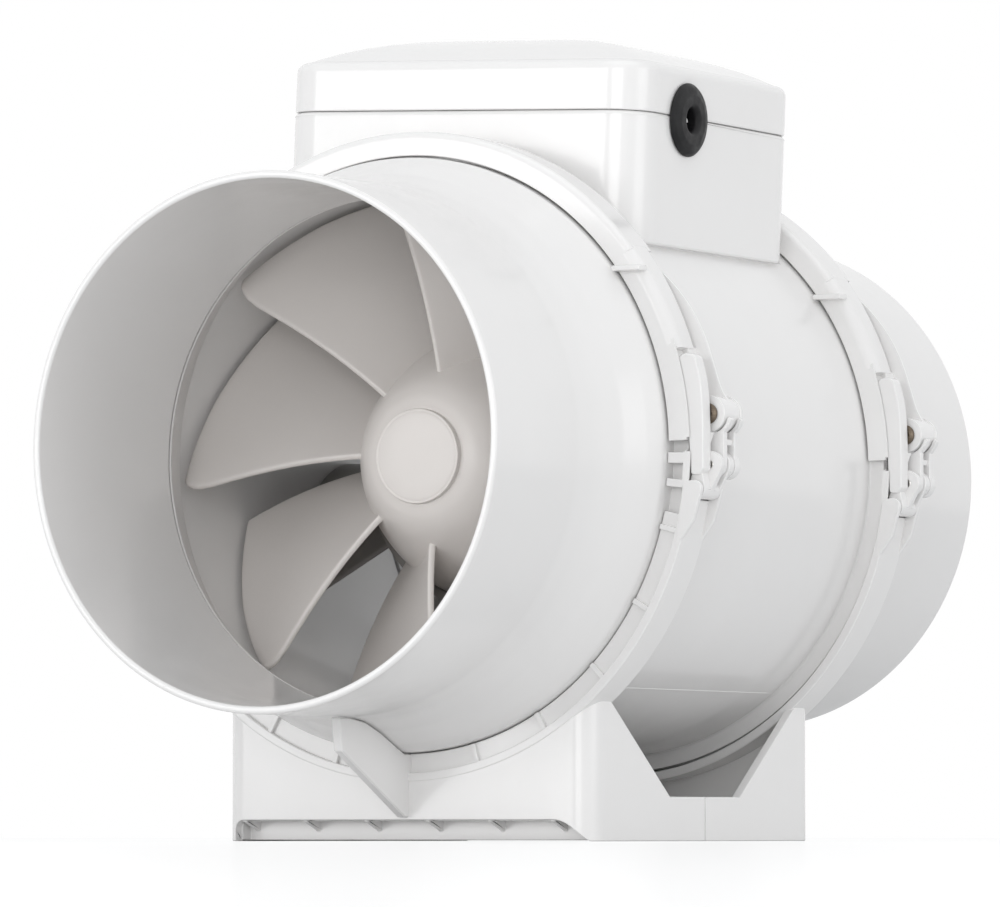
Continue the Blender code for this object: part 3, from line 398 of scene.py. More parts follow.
def softened(bm, width, angle, segments=2):
    """Bevel every edge sharper than an angle."""
    item = scratch(bm)
    modifier = item.modifiers.new("edges", "BEVEL")
    modifier.width = width
    modifier.segments = segments
    modifier.limit_method = "ANGLE"
    modifier.angle_limit = math.radians(angle)
    modifier.use_clamp_overlap = False
    modifier.miter_outer = "MITER_ARC"
    return reshaped(item)


# -------- placing

def show(name, bm, look, node, lean=False):
    """Place a shape in the frame: it rides with a CAD node's body, takes the given look and stands for it."""
    item = scratch(bm, name)
    turn = Matrix.Rotation(LEAN, 4, "Y") if lean else Matrix.Identity(4)
    item.data.transform(Matrix.Translation(AXIS) @ turn @ Matrix.Diagonal((MM, MM, MM, 1.0)))
    item.data.shade_smooth()
    item.data.set_sharp_from_angle(angle=SHARP)
    weighted = item.modifiers.new("normals", "WEIGHTED_NORMAL")
    weighted.keep_sharp = True
    item.data.materials.append(look)
    mesh = baked(item)
    mesh.name = name
    item = bpy.data.objects.new(name, mesh)
    bpy.context.scene.collection.objects.link(item)
    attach(item, BODY_OF[node])
    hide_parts(node)


# -------- materials

def fill(node, **values):
    """Set a node's inputs; an underscore stands for a space in an input's name."""
    for key, value in values.items():
        node.inputs[key.replace("_", " ")].default_value = value


class Look:
    """A material round one Principled shader, with textures in object space."""

    def __init__(self, name):
        self.material = bpy.data.materials.new(name)
        self.material.use_nodes = True
        self.nodes, self.links = self.material.node_tree.nodes, self.material.node_tree.links
        self.shader = self.nodes["Principled BSDF"]
        self.where = self.nodes.new("ShaderNodeTexCoord").outputs["Object"]

    def noise(self, scale, detail=2.0, roughness=0.5, where=None):
        texture = self.nodes.new("ShaderNodeTexNoise")
        fill(texture, Scale=scale, Detail=detail, Roughness=roughness)
        self.links.new(where or self.where, texture.inputs["Vector"])
        return texture.outputs["Fac"]

    def rough(self, value, low, high):
        """Map a 0.3 to 0.7 noise value to a range of roughness."""
        spread = self.nodes.new("ShaderNodeMapRange")
        fill(spread, From_Min=0.3, From_Max=0.7, To_Min=low, To_Max=high)
        self.links.new(value, spread.inputs["Value"])
        self.links.new(spread.outputs["Result"], self.shader.inputs["Roughness"])

    def tint(self, value, dark, light):
        """Mix the base colour between two tints."""
        mix = self.nodes.new("ShaderNodeMix")
        mix.data_type = "RGBA"
        fill(mix, A=(*dark, 1.0), B=(*light, 1.0))
        self.links.new(value, mix.inputs["Factor"])
        self.links.new(mix.outputs["Result"], self.shader.inputs["Base Color"])

    def dent(self, *heights):
        """Chain bumps of (height output, depth in metres)."""
        previous = None
        for height, depth in heights:
            bump = self.nodes.new("ShaderNodeBump")
            fill(bump, Strength=1.0, Distance=depth)
            self.links.new(height, bump.inputs["Height"])
            if previous is not None:
                self.links.new(previous, bump.inputs["Normal"])
            previous = bump.outputs["Normal"]
        self.links.new(previous, self.shader.inputs["Normal"])


def moulded_plastic(name, dark, light, rough, grain=0.000012, wave=0.00003, coat=0.0):
    """Moulded plastic: faint flow marks in the colour, uneven gloss, waviness and fine grain in metres."""
    look = Look(name)
    look.tint(look.noise(14.0, 4.0, 0.55), dark, light)
    look.rough(look.noise(60.0, 5.0, 0.6), *rough)
    look.dent((look.noise(45.0), wave), (look.noise(1400.0, 3.0), grain))
    fill(look.shader, IOR=1.5, Coat_Weight=coat, Coat_Roughness=0.08)
    return look.material


def soft_rubber(name):
    look = Look(name)
    look.tint(look.noise(220.0, 5.0), (0.006, 0.006, 0.007), (0.02, 0.02, 0.021))
    look.rough(look.noise(400.0, 4.0), 0.38, 0.6)
    look.dent((look.noise(2600.0, 4.0), 0.00004))
    fill(look.shader, Specular_IOR_Level=0.25)
    return look.material


def metal(name, dark, light, rough):
    """Machined or plated metal with fine drawn lines."""
    look = Look(name)
    mapping = look.nodes.new("ShaderNodeMapping")
    fill(mapping, Scale=(1.0, 1.0, 14.0))
    look.links.new(look.where, mapping.inputs["Vector"])
    lines = look.noise(260.0, 4.0, where=mapping.outputs["Vector"])
    look.tint(lines, dark, light)
    look.rough(look.noise(700.0, 4.0), *rough)
    look.dent((lines, 0.00001))
    fill(look.shader, Metallic=1.0)
    return look.material


def coil_copper(name):
    """Enamelled wire wound round the motor axis."""
    look = Look(name)
    wires = look.nodes.new("ShaderNodeTexWave")
    wires.wave_type = "RINGS"
    wires.rings_direction = "Y"
    fill(wires, Scale=420.0, Distortion=1.2)
    look.links.new(look.where, wires.inputs["Vector"])
    look.tint(wires.outputs["Fac"], (0.30, 0.10, 0.035), (0.72, 0.33, 0.14))
    look.rough(look.noise(500.0), 0.25, 0.42)
    look.dent((wires.outputs["Fac"], 0.0002))
    fill(look.shader, Metallic=0.85)
    return look.material


GLOSS = moulded_plastic("gloss_white_plastic", (0.855, 0.845, 0.835), (0.90, 0.893, 0.886), (0.16, 0.26),
                        coat=0.25)
SATIN = moulded_plastic("satin_white_plastic", (0.80, 0.785, 0.775), (0.85, 0.838, 0.83), (0.3, 0.42),
                        0.00002)
WHEEL = moulded_plastic("wheel_plastic", (0.80, 0.76, 0.73), (0.85, 0.815, 0.785), (0.32, 0.42), 0.000008,
                        0.00001, 0.05)
# Darker copy of the satin white plastic for the guide vanes and tail plug: painted shade deep inside the duct
SATIN_IN_PAINTED_SHADE = moulded_plastic("stator_plastic_painted_shade", (0.36, 0.345, 0.33), (0.42, 0.405, 0.39), (0.35, 0.5), 0.00002)
TERMINAL = moulded_plastic("grey_plastic", (0.24, 0.245, 0.25), (0.30, 0.305, 0.31), (0.4, 0.55), 0.00003)
MOTOR = moulded_plastic("motor_paint", (0.16, 0.165, 0.17), (0.22, 0.225, 0.23), (0.35, 0.5), 0.00005)
RUBBER = soft_rubber("black_rubber")
STEEL = metal("zinc_steel", (0.50, 0.49, 0.46), (0.72, 0.71, 0.68), (0.2, 0.38))
# Darker, brownish copy of the zinc steel for the catch screws: painted shade of the screw head sunk in its barrel
STEEL_IN_PAINTED_SHADE = metal("catch_steel_painted_shade", (0.10, 0.08, 0.06), (0.22, 0.18, 0.14), (0.3, 0.5))
COPPER = coil_copper("copper_wire")
LOOK_OF = {"gloss_white": GLOSS, "satin_white": SATIN, "black_rubber": RUBBER, "grey_plastic": TERMINAL,
           "motor_grey": MOTOR, "copper_wire": COPPER, "zinc_steel": STEEL}


# -------- the base body

CLAMP_V = abs(JOINTS["front_band_open"].y) / MM  # the clamps stand this far from the fan's middle
FLOOR_Z = -AXIS.z / MM
BASE_X, BASE_Y, BASE_CORNER = 63.8, 71.8, 7.5  # half width, half length and corner radius of the foot
BASE_WALL, BASE_HEIGHT = 3.0, 47.4
BASE_SEAM = 0.15  # each half stops this far short of the middle
NOTCH_LOW, NOTCH_HIGH = (22.5, 13.4), (58.5, 41.0)  # half width at a height above the floor
NOTCH_PEAK = 56.0
SLOT_TOP, SLOT_END = 6.3, -60.0
SHELF_LOW, SHELF_HIGH = 6.4, 9.4


def pivot(joint):
    """Where a joint's axis crosses the (x, z) plane, in mm from the duct axis."""
    return JOINTS[joint].x / MM, (JOINTS[joint].z - AXIS.z) / MM


HINGE = pivot("front_band_open")
LEVER_PIVOT = pivot("front_lever_turn")
LINK_PIVOT = pivot("front_link_turn")
CATCH = (99.6, 9.8)  # centre of the catch barrel
HINGE_PIN, HINGE_HOLE = 1.6, 1.65
LEVER_PIN, LEVER_HOLE = 1.5, 1.55
LINK_PIN, LINK_HOLE = 1.2, 1.3


def duct_spigot(name, side, node):
    """Spigot with its flare and flange; the inner step at the foot of the tube shows as a fine line."""
    points = [(79.0, 154.5, 0.9), (79.0, 106.0, 30.0), (80.2, 97.0, 30.0), (83.2, 88.0, 24.0),
              (87.0, 79.5, 14.0), (89.3, 74.0, 4.0), (89.3, 67.2, 0.3), (94.2, 67.2, 0.4),
              (94.2, 64.8, 0.4), (86.9, 64.8, 0.3),
              (86.5, 68.0, 2.0), (83.6, 75.0, 6.0), (79.2, 82.6, 0.6), (76.7, 82.6, 0.5), (76.7, 154.5, 0.9)]
    show(name, lathe([(r, side * v) for r, v in rounded(points)]), GLOSS, node)


def foot_line(inwards):
    """Outline of the foot, or of a line inside it."""
    return rounded_box(BASE_X - inwards, inwards - BASE_Y, BASE_Y - inwards, BASE_CORNER - inwards, 12)


def slot_shape(side):
    """Cutter for the foot slot: round at its -X end, running out in a curve at its +X end."""
    top, end, radius = FLOOR_Z + SLOT_TOP, BASE_X - 1.5, 3.0
    outline = [(SLOT_END, FLOOR_Z - 2.0), (end, FLOOR_Z - 2.0)]
    for i in range(13):
        t = i / 12
        outline.append((end + (51.0 - end) * t, top - 6.8 * (1 - math.sin(math.radians(90 * t)))))
    outline += arc_points((SLOT_END + radius, top - radius), radius, 90, 180, 7)
    low, high = sorted((side * (BASE_Y - BASE_CORNER), side * (BASE_Y + 5.0)))
    return plate(outline, low, high, 0.0)


def slot_pocket(side):
    """What shows inside the foot slot: six ribs, the wall behind them and the wall at the -X end."""
    shapes = []
    profile = [(54.5, 0.3), (55.8, 0.3), (BASE_Y - 0.6, 6.0), (BASE_Y - 0.6, 7.0), (54.5, 7.0)]
    for i in range(6):
        middle = -56.6 + 21.4 * i
        shapes.append(skin([[(x, side * y, FLOOR_Z + z) for y, z in profile]
                            for x in (middle - 0.8, middle + 0.8)]))
    for left, near, right, far in ((-61.5, 61.0, 61.5, 63.0), (-61.6, 54.5, -59.4, 67.5)):
        shapes.append(block(side, (left, near, FLOOR_Z + 0.3), (right, far, FLOOR_Z + 7.0)))
    return shapes


def base_shell(side):
    """Open-topped foot: rounded walls, V notches in both sides, the long slot in the outer face and a
    shelf with two fixing bores."""
    top = FLOOR_Z + BASE_HEIGHT
    shell = skin([[(x, y, z) for x, y in foot_line(0.0)] for z in (FLOOR_Z, top)])
    hollow = skin([[(x, y, z) for x, y in foot_line(BASE_WALL)] for z in (FLOOR_Z - 9, top + 9)])
    other_half = block(side, (-90, BASE_SEAM, FLOOR_Z - 20), (90, -120.0, top + 40))
    space = drum(96.4, -side * 1.0, side * 76.0)
    slope = (NOTCH_HIGH[0] - NOTCH_LOW[0]) / (NOTCH_HIGH[1] - NOTCH_LOW[1])
    narrow, wide = NOTCH_LOW[0], NOTCH_LOW[0] + slope * (NOTCH_PEAK - NOTCH_LOW[1])
    low, peak = FLOOR_Z + NOTCH_LOW[1], FLOOR_Z + NOTCH_PEAK
    notch = skin([[(x, y, z) for y, z in ((-narrow, low), (narrow, low), (wide, peak), (-wide, peak))]
                  for x in (-90, 90)])
    shelf = skin([[(x, y, FLOOR_Z + z) for x, y in foot_line(1.4)] for z in (SHELF_LOW, SHELF_HIGH)])
    shelf = carve(shelf, cut(block(side, (-90, 36.0, FLOOR_Z - 5), (90, -100.0, FLOOR_Z + 40))))
    seam_wall = block(side, (-62, BASE_SEAM, FLOOR_Z + 0.4), (62, 3.0, FLOOR_Z + 13.0))
    bores = [post((x, side * 49.0), 3.0, FLOOR_Z, FLOOR_Z + 30, 32) for x in (-45.0, 45.0)]
    seam_bores = [plate(circle((x, FLOOR_Z + 7.5), 2.3, 24), -9, 9, 0.0) for x in (-40.0, 40.0)]
    return carve(shell, cut(hollow, other_half, space, notch, slot_shape(side))
                 + add(*slot_pocket(side), shelf, seam_wall) + cut(joined(*bores), joined(*seam_bores)))


def cradle_ring(side):
    """Lower half ring round the flanges, with room for the lever and a thin front rim at its end."""
    section = rounded([(94.5, 66.9), (95.3, 66.9), (95.3, 72.0, 0.35), (98.0, 72.0, 0.5), (98.0, 58.0, 0.5),
                       (95.3, 58.0, 0.35), (95.3, 65.1), (94.5, 65.1)])
    ring = arc([(r, side * v) for r, v in section], 184.0, 359.4, 120, 0.4)
    middle = side * CLAMP_V
    room = arc(oblong(95.9, middle - 8, 99.5, middle + 8), -6.2, 3.0, 8)
    boss = plate(circle(LEVER_PIVOT, 3.5, 36), middle - 5.35, middle + 5.35, 0.0)
    brim = arc(oblong(95.0, middle - 6.98, 97.2, middle - 6.62), -7.0, -0.9, 6)
    return carve(ring, cut(room, boss) + add(brim))


def groove_floor(side):
    """Floor of the cradle's shallow groove, close round the spigot."""
    section = rounded([(89.6, 67.6), (89.6, 70.3, 0.4), (95.7, 70.3), (95.7, 67.6)])
    return arc([(r, side * v) for r, v in section], 184.5, 348.0, 100, 0.3)


def groove_ribs(side):
    """Ribs across the groove every 15 degrees, and two heavier ones below the lever."""
    ribs = [(a, 89.8, 96.0, 0.8) for a in range(-165, -10, 15)]
    ribs += [(-2.0, 89.6, 95.6, 1.6), (-6.6, 89.6, 95.6, 1.2)]
    return [turned_about(block(side, (inner, 67.6, -half), (outer, 71.6, half), 0.3), angle)
            for angle, inner, outer, half in ribs]


def clamp_lugs(side):
    """Ears on the cradle: round for the band's hinge, and run out along the ring for the lever."""
    middle = side * CLAMP_V
    hinge_ear = convex([(-96.5, -9.0), (-95.0, -20.0)] + circle(HINGE, 5.0, 48))
    lever_ear = convex([(94.9, -10.5), (92.0, -30.0), (98.4, -21.5)] + circle(LEVER_PIVOT, 2.7, 40))
    shapes = []
    for low, high in ((-7.15, -5.35), (5.35, 7.15)):
        hole = plate(circle(HINGE, HINGE_HOLE, 32), middle - 9, middle + 9, 0.0)
        shapes.append(carve(plate(hinge_ear, middle + low, middle + high, 0.3), cut(hole)))
        shapes.append(plate(lever_ear, middle + low, middle + high, 0.45))
    return shapes


def support_fin(side):
    """Gusset from the foot to the underside of the spigot."""
    outline = rounded([(66.5, 6.8), (74.0, 7.2), (110.5, 26.5, 1.0), (112.0, 36.4, 0.4), (106.0, 36.4),
                       (97.0, 35.2), (88.0, 32.2), (79.5, 28.4), (74.0, 26.1), (67.6, 26.1), (67.6, 21.0),
                       (66.5, 19.0)])
    rim = inset(outline, 0.4)
    rings = []
    for x, line in ((-1.5, rim), (-1.1, outline), (1.1, outline), (1.5, rim)):
        rings.append([(x, side * v, FLOOR_Z + z) for v, z in line])
    return skin(rings)


def base_half(name, side, node):
    """One half of the base; the softened foot is pressed flat on the floor again."""
    shell = softened(base_shell(side), 0.4, 40.0)
    for vert in shell.verts:
        vert.co.z = max(vert.co.z, FLOOR_Z)
    whole = joined(shell, cradle_ring(side), groove_floor(side), support_fin(side), *groove_ribs(side),
                   *clamp_lugs(side))
    show(name, whole, GLOSS, node)


# -------- the motor block

BOX_X, BOX_FRONT, BOX_REAR, BOX_CORNER = 62.7, -49.0, 56.0, 13.0  # the terminal box
BOX_WALL = 2.5
SEAM_Z, LID_EDGE, LID_TOP = 105.6, 119.5, 130.7
SHOULDER = 3.2  # rounding round the lid's top
BUSH, BUSH_HOLE = (-18.0, 105.0), 8.3  # (y, z) centre of the cable grommet
LID_SCREWS = [(-(BOX_X - 11.0), BOX_REAR - 11.0), (BOX_X - 11.0, BOX_REAR - 11.0)]
LID_SCREW_SEAT = 116.6


def box_line(inwards=0.0):
    """Outline of the terminal box, or of a line inside it."""
    return rounded_box(BOX_X - inwards, BOX_FRONT + inwards, BOX_REAR - inwards, BOX_CORNER - inwards)


def bush_bore():
    start, end = BOX_X - 6, BOX_X + 6
    return lathe_x([(0.01, start), (BUSH_HOLE, start), (BUSH_HOLE, end), (0.01, end)], BUSH, 48)


def motor_casing():
    """Barrel with a flange at each end and the terminal box standing on it."""
    profile = rounded([(94.2, 63.0, 0.4), (94.2, 60.6, 0.3), (89.3, 60.6, 0.8), (89.3, -60.6, 0.8),
                       (94.2, -60.6, 0.3), (94.2, -63.0, 0.4), (86.9, -63.0, 0.4), (86.9, 63.0, 0.4)])
    levels = ((66.0, 0.0), (84.0, 0.0), (SEAM_Z - 0.75, 0.0), (SEAM_Z - 0.35, 0.12), (SEAM_Z - 0.15, 0.5))
    outer = skin([[(x, y, z) for x, y in inset(box_line(), shrink)] for z, shrink in levels])
    outer = carve(outer, cut(drum(88.0, -80.0, 80.0)))
    hollow = skin([[(x, y, z) for x, y in box_line(BOX_WALL)] for z in (60.0, SEAM_Z + 5)])
    hollow = carve(hollow, cut(drum(92.3, -90.0, 90.0)))
    whole = carve(lathe(profile), add(outer) + cut(hollow, bush_bore()))
    whole = softened(whole, 0.8, 34.0, 3)
    ridge = turned_about(box((89.1, -60.4, -0.25), (89.42, 60.4, 0.25), 0.05), -49.0)
    show("motor_block_shell", joined(whole, ridge), GLOSS, "motor_casing", lean=True)


def lid_line(shrink):
    """Height of the crown over an outline shrunk to this share."""
    return LID_EDGE + (LID_TOP - LID_EDGE) * (1.0 - shrink ** 2.6)


def terminal_lid():
    """Crowned hollow lid with a rounded shoulder and two sunk screw places, each on a boss."""
    middle = (BOX_FRONT + BOX_REAR) / 2
    outline = box_line()
    rings = [[(x, y, SEAM_Z + rise) for x, y in (inset(outline, shrink) if shrink else outline)]
             for rise, shrink in ((0.15, 0.5), (0.35, 0.12), (0.75, 0.0))]
    base = lid_line(0.94) - SHOULDER
    for k in range(7):
        a = math.radians(90 * k / 6)
        shift = SHOULDER * (1 - math.cos(a))
        rings.append([(x, y, base + SHOULDER * math.sin(a)) for x, y in inset(outline, shift)])
    start = rings[-1][0][2]
    for s in (0.99, 0.97, 0.94, 0.9, 0.84, 0.76, 0.66, 0.54, 0.4, 0.25, 0.1):
        rings.append([(x * s, middle + (y - middle) * s, start + (LID_TOP - start) * (1 - s ** 3.0))
                      for x, y in inset(outline, SHOULDER)])
    inner_line = box_line(BOX_WALL)
    inner = [[(x, y, z) for x, y in inner_line] for z in (SEAM_Z - 3, LID_EDGE - 4)]
    for s in (0.97, 0.8, 0.45):
        inner.append([(x * s, middle + (y - middle) * s, lid_line(s) - BOX_WALL) for x, y in inner_line])
    sinks = [post(place, 4.3, LID_SCREW_SEAT, 128.0, 40) for place in LID_SCREWS]
    bosses = [post(place, 5.6, SEAM_Z + 3.0, LID_SCREW_SEAT, 40) for place in LID_SCREWS]
    whole = softened(carve(skin(rings), cut(skin(inner), bush_bore(), joined(*sinks))), 0.35, 50.0)
    show("terminal_lid_shell", joined(whole, *bosses), GLOSS, "terminal_lid", lean=True)


def lid_fixings():
    """Steel lid screws with a cross recess in the head."""
    line = [(0.0, 118.7), (2.0, 118.9), (3.3, 118.75), (3.8, 118.2), (3.8, 116.8), (1.8, 116.8), (1.8, 96.0),
            (0.0, 96.0)]
    for i, (x, y) in enumerate(LID_SCREWS):
        body = spun([(r, -z) for r, z in line], 40)
        bmesh.ops.transform(body, matrix=Matrix.Rotation(-math.pi / 2, 4, "X"), verts=body.verts)
        bmesh.ops.translate(body, verts=body.verts, vec=(x, y, 0))
        cross = [box((x - a, y - b, 117.6), (x + a, y + b, 120), 0.0)
                 for a, b in ((2.1, 0.55), (0.55, 2.1))]
        show(f"lid_fixing_{i + 1}", carve(body, cut(*cross)), STEEL, f"lid_screw_{i + 1}", lean=True)


def grommet():
    """Rubber bush with a rounded face and a hole through it, held in the wall by its groove."""
    x = BOX_X
    profile = rounded([(11.2, x + 0.3, 0.3), (11.2, x + 0.8, 0.8), (10.2, x + 1.9, 2.0), (7.6, x + 2.6, 2.5),
                       (4.4, x + 2.6, 1.6), (3.5, x + 1.2, 1.2), (3.5, x - 5.0, 0.4), (10.0, x - 5.0, 0.6),
                       (10.0, x - 2.8, 0.4), (8.0, x - 2.8, 0.2), (8.0, x + 0.3, 0.2)])
    show("cable_bush", lathe_x(profile, BUSH, 72), RUBBER, "cable_grommet", lean=True)


def inlet_ring():
    """Bellmouth in front of the blades."""
    profile = rounded([(86.4, -64.0, 0.5), (82.6, -73.0, 8.0), (78.4, -81.2, 0.8), (76.5, -82.0, 0.5),
                       (80.8, -72.0, 8.0), (84.9, -63.6, 0.4)])
    show("bellmouth", lathe(profile), SATIN, "inlet_ring", lean=True)


def vane_solid(rows, half):
    """Closed blade from rows of mid-surface points and their half thickness, thin at its free rims."""
    bm = bmesh.new()
    grid = [[bm.verts.new(p) for p in row] for row in rows]
    for low, high in zip(grid, grid[1:]):
        for i in range(len(low) - 1):
            bm.faces.new((low[i], low[i + 1], high[i + 1], high[i]))
    bmesh.ops.recalc_face_normals(bm, faces=bm.faces)
    bm.normal_update()
    count = len(rows[0])
    normals = [[v.normal.copy() for v in row] for row in grid]
    flat = [[v.co.copy() for v in row] for row in grid]
    bm.free()
    bm = bmesh.new()
    sides = []
    rims = {}
    for sign in (1, -1):
        layer = []
        for k, row in enumerate(flat):
            line = []
            for i, co in enumerate(row):
                h = half(k, i)
                if h < 1e-6:
                    key = (k, i)
                    if key not in rims:
                        rims[key] = bm.verts.new(co)
                    line.append(rims[key])
                else:
                    line.append(bm.verts.new(co + normals[k][i] * h * sign))
            layer.append(line)
        sides.append(layer)
    for end in (0, -1):
        top, bottom = sides[0][end], sides[1][end]
        for i in range(count - 1):
            add_face(bm, (top[i], top[i + 1], bottom[i + 1], bottom[i]))
    for sign, layer in zip((1, -1), sides):
        for low, high in zip(layer, layer[1:]):
            for i in range(count - 1):
                corners = [low[i], low[i + 1], high[i + 1], high[i]]
                bm.faces.new(corners if sign > 0 else corners[::-1])
    bmesh.ops.recalc_face_normals(bm, faces=bm.faces)
    return bm


def rim_samples(inner):
    """Parameters along a blade, dense near its rims so that they come out round."""
    return [0.0, 0.004, 0.012, 0.024, 0.04] + [0.04 + 0.92 * i / inner for i in range(1, inner)] + [
        0.96, 0.976, 0.988, 0.996, 1.0]


def rim_profile(t, length, thickness):
    d = min(t, 1 - t) * length
    if d >= thickness:
        return thickness
    return math.sqrt(max(0.0, thickness ** 2 - (thickness - d) ** 2))


HUB_LINE = smooth_curve([(14.6, -62.9), (19.5, -60.8), (25.0, -55.4), (33.0, -42.0), (39.0, -29.0),
                         (42.0, -20.0)])
BLADES, BLADE_FIRST = 8, 133  # first blade's angle at the hub, in degrees
BLADE_SWEEP, BLADE_TWIST = 9, 41  # degrees forward at the tip, and back along the chord
BLADE_FRONT, BLADE_SET_BACK = -64.5, 11  # y of the tip's leading edge; the hub's is further back
BLADE_CHORD, HUB_CHORD_LESS = 40, 8.5
TIP_R, TIP_FLARE = 84.0, 1.6
TIP_CORNER, TIP_CORNER_FROM = 0.09, 0.85  # shares of the chord and of the span
VANES, VANE_SWEEP = 9, 32
VANE_HUB_R, VANE_TIP_R = 44.8, 86.5


def hub_radius_at(y):
    for (r0, y0), (r1, y1) in zip(HUB_LINE, HUB_LINE[1:]):
        if y <= y1:
            return r0 + (r1 - r0) * max(0.0, (y - y0) / (y1 - y0))
    return HUB_LINE[-1][0]


def impeller_blade(angle):
    """A mixed-flow blade: near-radial leading edge with a rounded tip corner, swept back along the hub."""
    spans = [0.0, 0.08, 0.18, 0.3, 0.42, 0.54, 0.66, 0.77, 0.86, 0.92, 0.955, 0.975, 0.988, 0.996, 1.0]
    chords = rim_samples(22)
    rows = []
    for s in spans:
        corner = 0.0
        if s > TIP_CORNER_FROM:
            corner = TIP_CORNER * (1 - math.sqrt(max(0.0, 1 - ((s - TIP_CORNER_FROM) / 0.15) ** 2)))
        row = []
        for t in chords:
            c = corner + (1 - corner) * t
            chord = BLADE_CHORD - HUB_CHORD_LESS * (1 - s)
            y = (BLADE_FRONT + BLADE_SET_BACK * (1 - s)) + chord * c ** 1.05
            hub_r = hub_radius_at(y) - 1.2
            tip_r = TIP_R + TIP_FLARE * min(1.0, c * 2)
            r = hub_r + (tip_r - hub_r) * s
            turn = math.radians(angle + BLADE_SWEEP * s - BLADE_TWIST * c)
            row.append((r * math.cos(turn), y, r * math.sin(turn)))
        rows.append(row)

    def half(k, i):
        tip = rim_profile(spans[k], 50.0, 1.0) if spans[k] > 0.5 else 1.0
        return rim_profile(chords[i], 60.0, 1.0) * tip
    return vane_solid(rows, half)


def impeller():
    """The hub with its blades, and the round cap on its nose."""
    inner = [(39.8, -20.0), (34.0, -33.0), (20.0, -52.0), (10.0, -50.0), (10.0, -30.0), (4.4, -30.0),
             (4.4, -57.5), (8.0, -57.5), (8.0, -62.9)]
    hub = lathe(HUB_LINE + inner, 128)
    blades = [impeller_blade(BLADE_FIRST + 360 // BLADES * i) for i in range(BLADES)]
    show("impeller_wheel", joined(hub, *blades), WHEEL, "impeller")
    cap = spun([(0.0, -65.0), (9.0, -64.95), (12.9, -64.75), (13.4, -64.45), (13.7, -64.4), (14.2, -64.6),
                (14.4, -64.2), (14.4, -62.9), (0.0, -62.9)], 96)
    show("hub_front_cap", cap, WHEEL, "hub_cap")


def guide_vanes():
    """The still vanes behind the wheel, on the hub that holds the motor, and the plug in its tail."""
    profile = rounded([(12.0, 79.0, 0.5), (24.0, 74.0, 12.0), (36.0, 64.0, 12.0), (43.0, 52.0, 12.0),
                       (46.0, 38.0, 12.0), (46.0, -16.5, 0.5), (43.0, -16.5, 0.5), (43.0, 40.0, 3.0),
                       (42.3, 46.0), (8.0, 46.0), (8.0, 49.0), (40.0, 49.0), (33.5, 61.0), (22.5, 70.5),
                       (12.0, 75.5)])
    hub = lathe(profile, 128)
    vanes = []
    chords = rim_samples(16)
    radii = [VANE_HUB_R + (VANE_TIP_R - VANE_HUB_R) * k / 6 for k in range(7)]
    for i in range(VANES):
        rows = []
        for r in radii:
            row = []
            for t in chords:
                turn = math.radians(20 + 360 // VANES * i + VANE_SWEEP * (1 - t) ** 2)
                row.append((r * math.cos(turn), -8 + 50 * t, r * math.sin(turn)))
            rows.append(row)
        vanes.append(vane_solid(rows, lambda k, i: rim_profile(chords[i], 52.0, 0.9)))
    # vanes and plug wear the darkened satin plastic: painted shade inside the duct
    show("stator_vanes", joined(hub, *vanes), SATIN_IN_PAINTED_SHADE, "guide_vanes", lean=True)
    plug = spun([(0.0, 79.9), (6.0, 79.8), (10.4, 79.4), (11.5, 78.8), (11.7, 78.0), (11.7, 75.0),
                 (0.0, 75.0)], 96)
    show("hub_tail_plug", plug, SATIN_IN_PAINTED_SHADE, "tail_plug", lean=True)


# -------- clamps, levers and links

BAND_HALF, BAND_WALL = 7.0, 1.7
BAND_LIP_R = 90.0  # the clamp's side walls reach in to here
HOOD_START, HOOD_END, BAND_END = 17.5, 38.2, 175.0  # degrees up from the lever side
SCREW_HEAD = 0.9


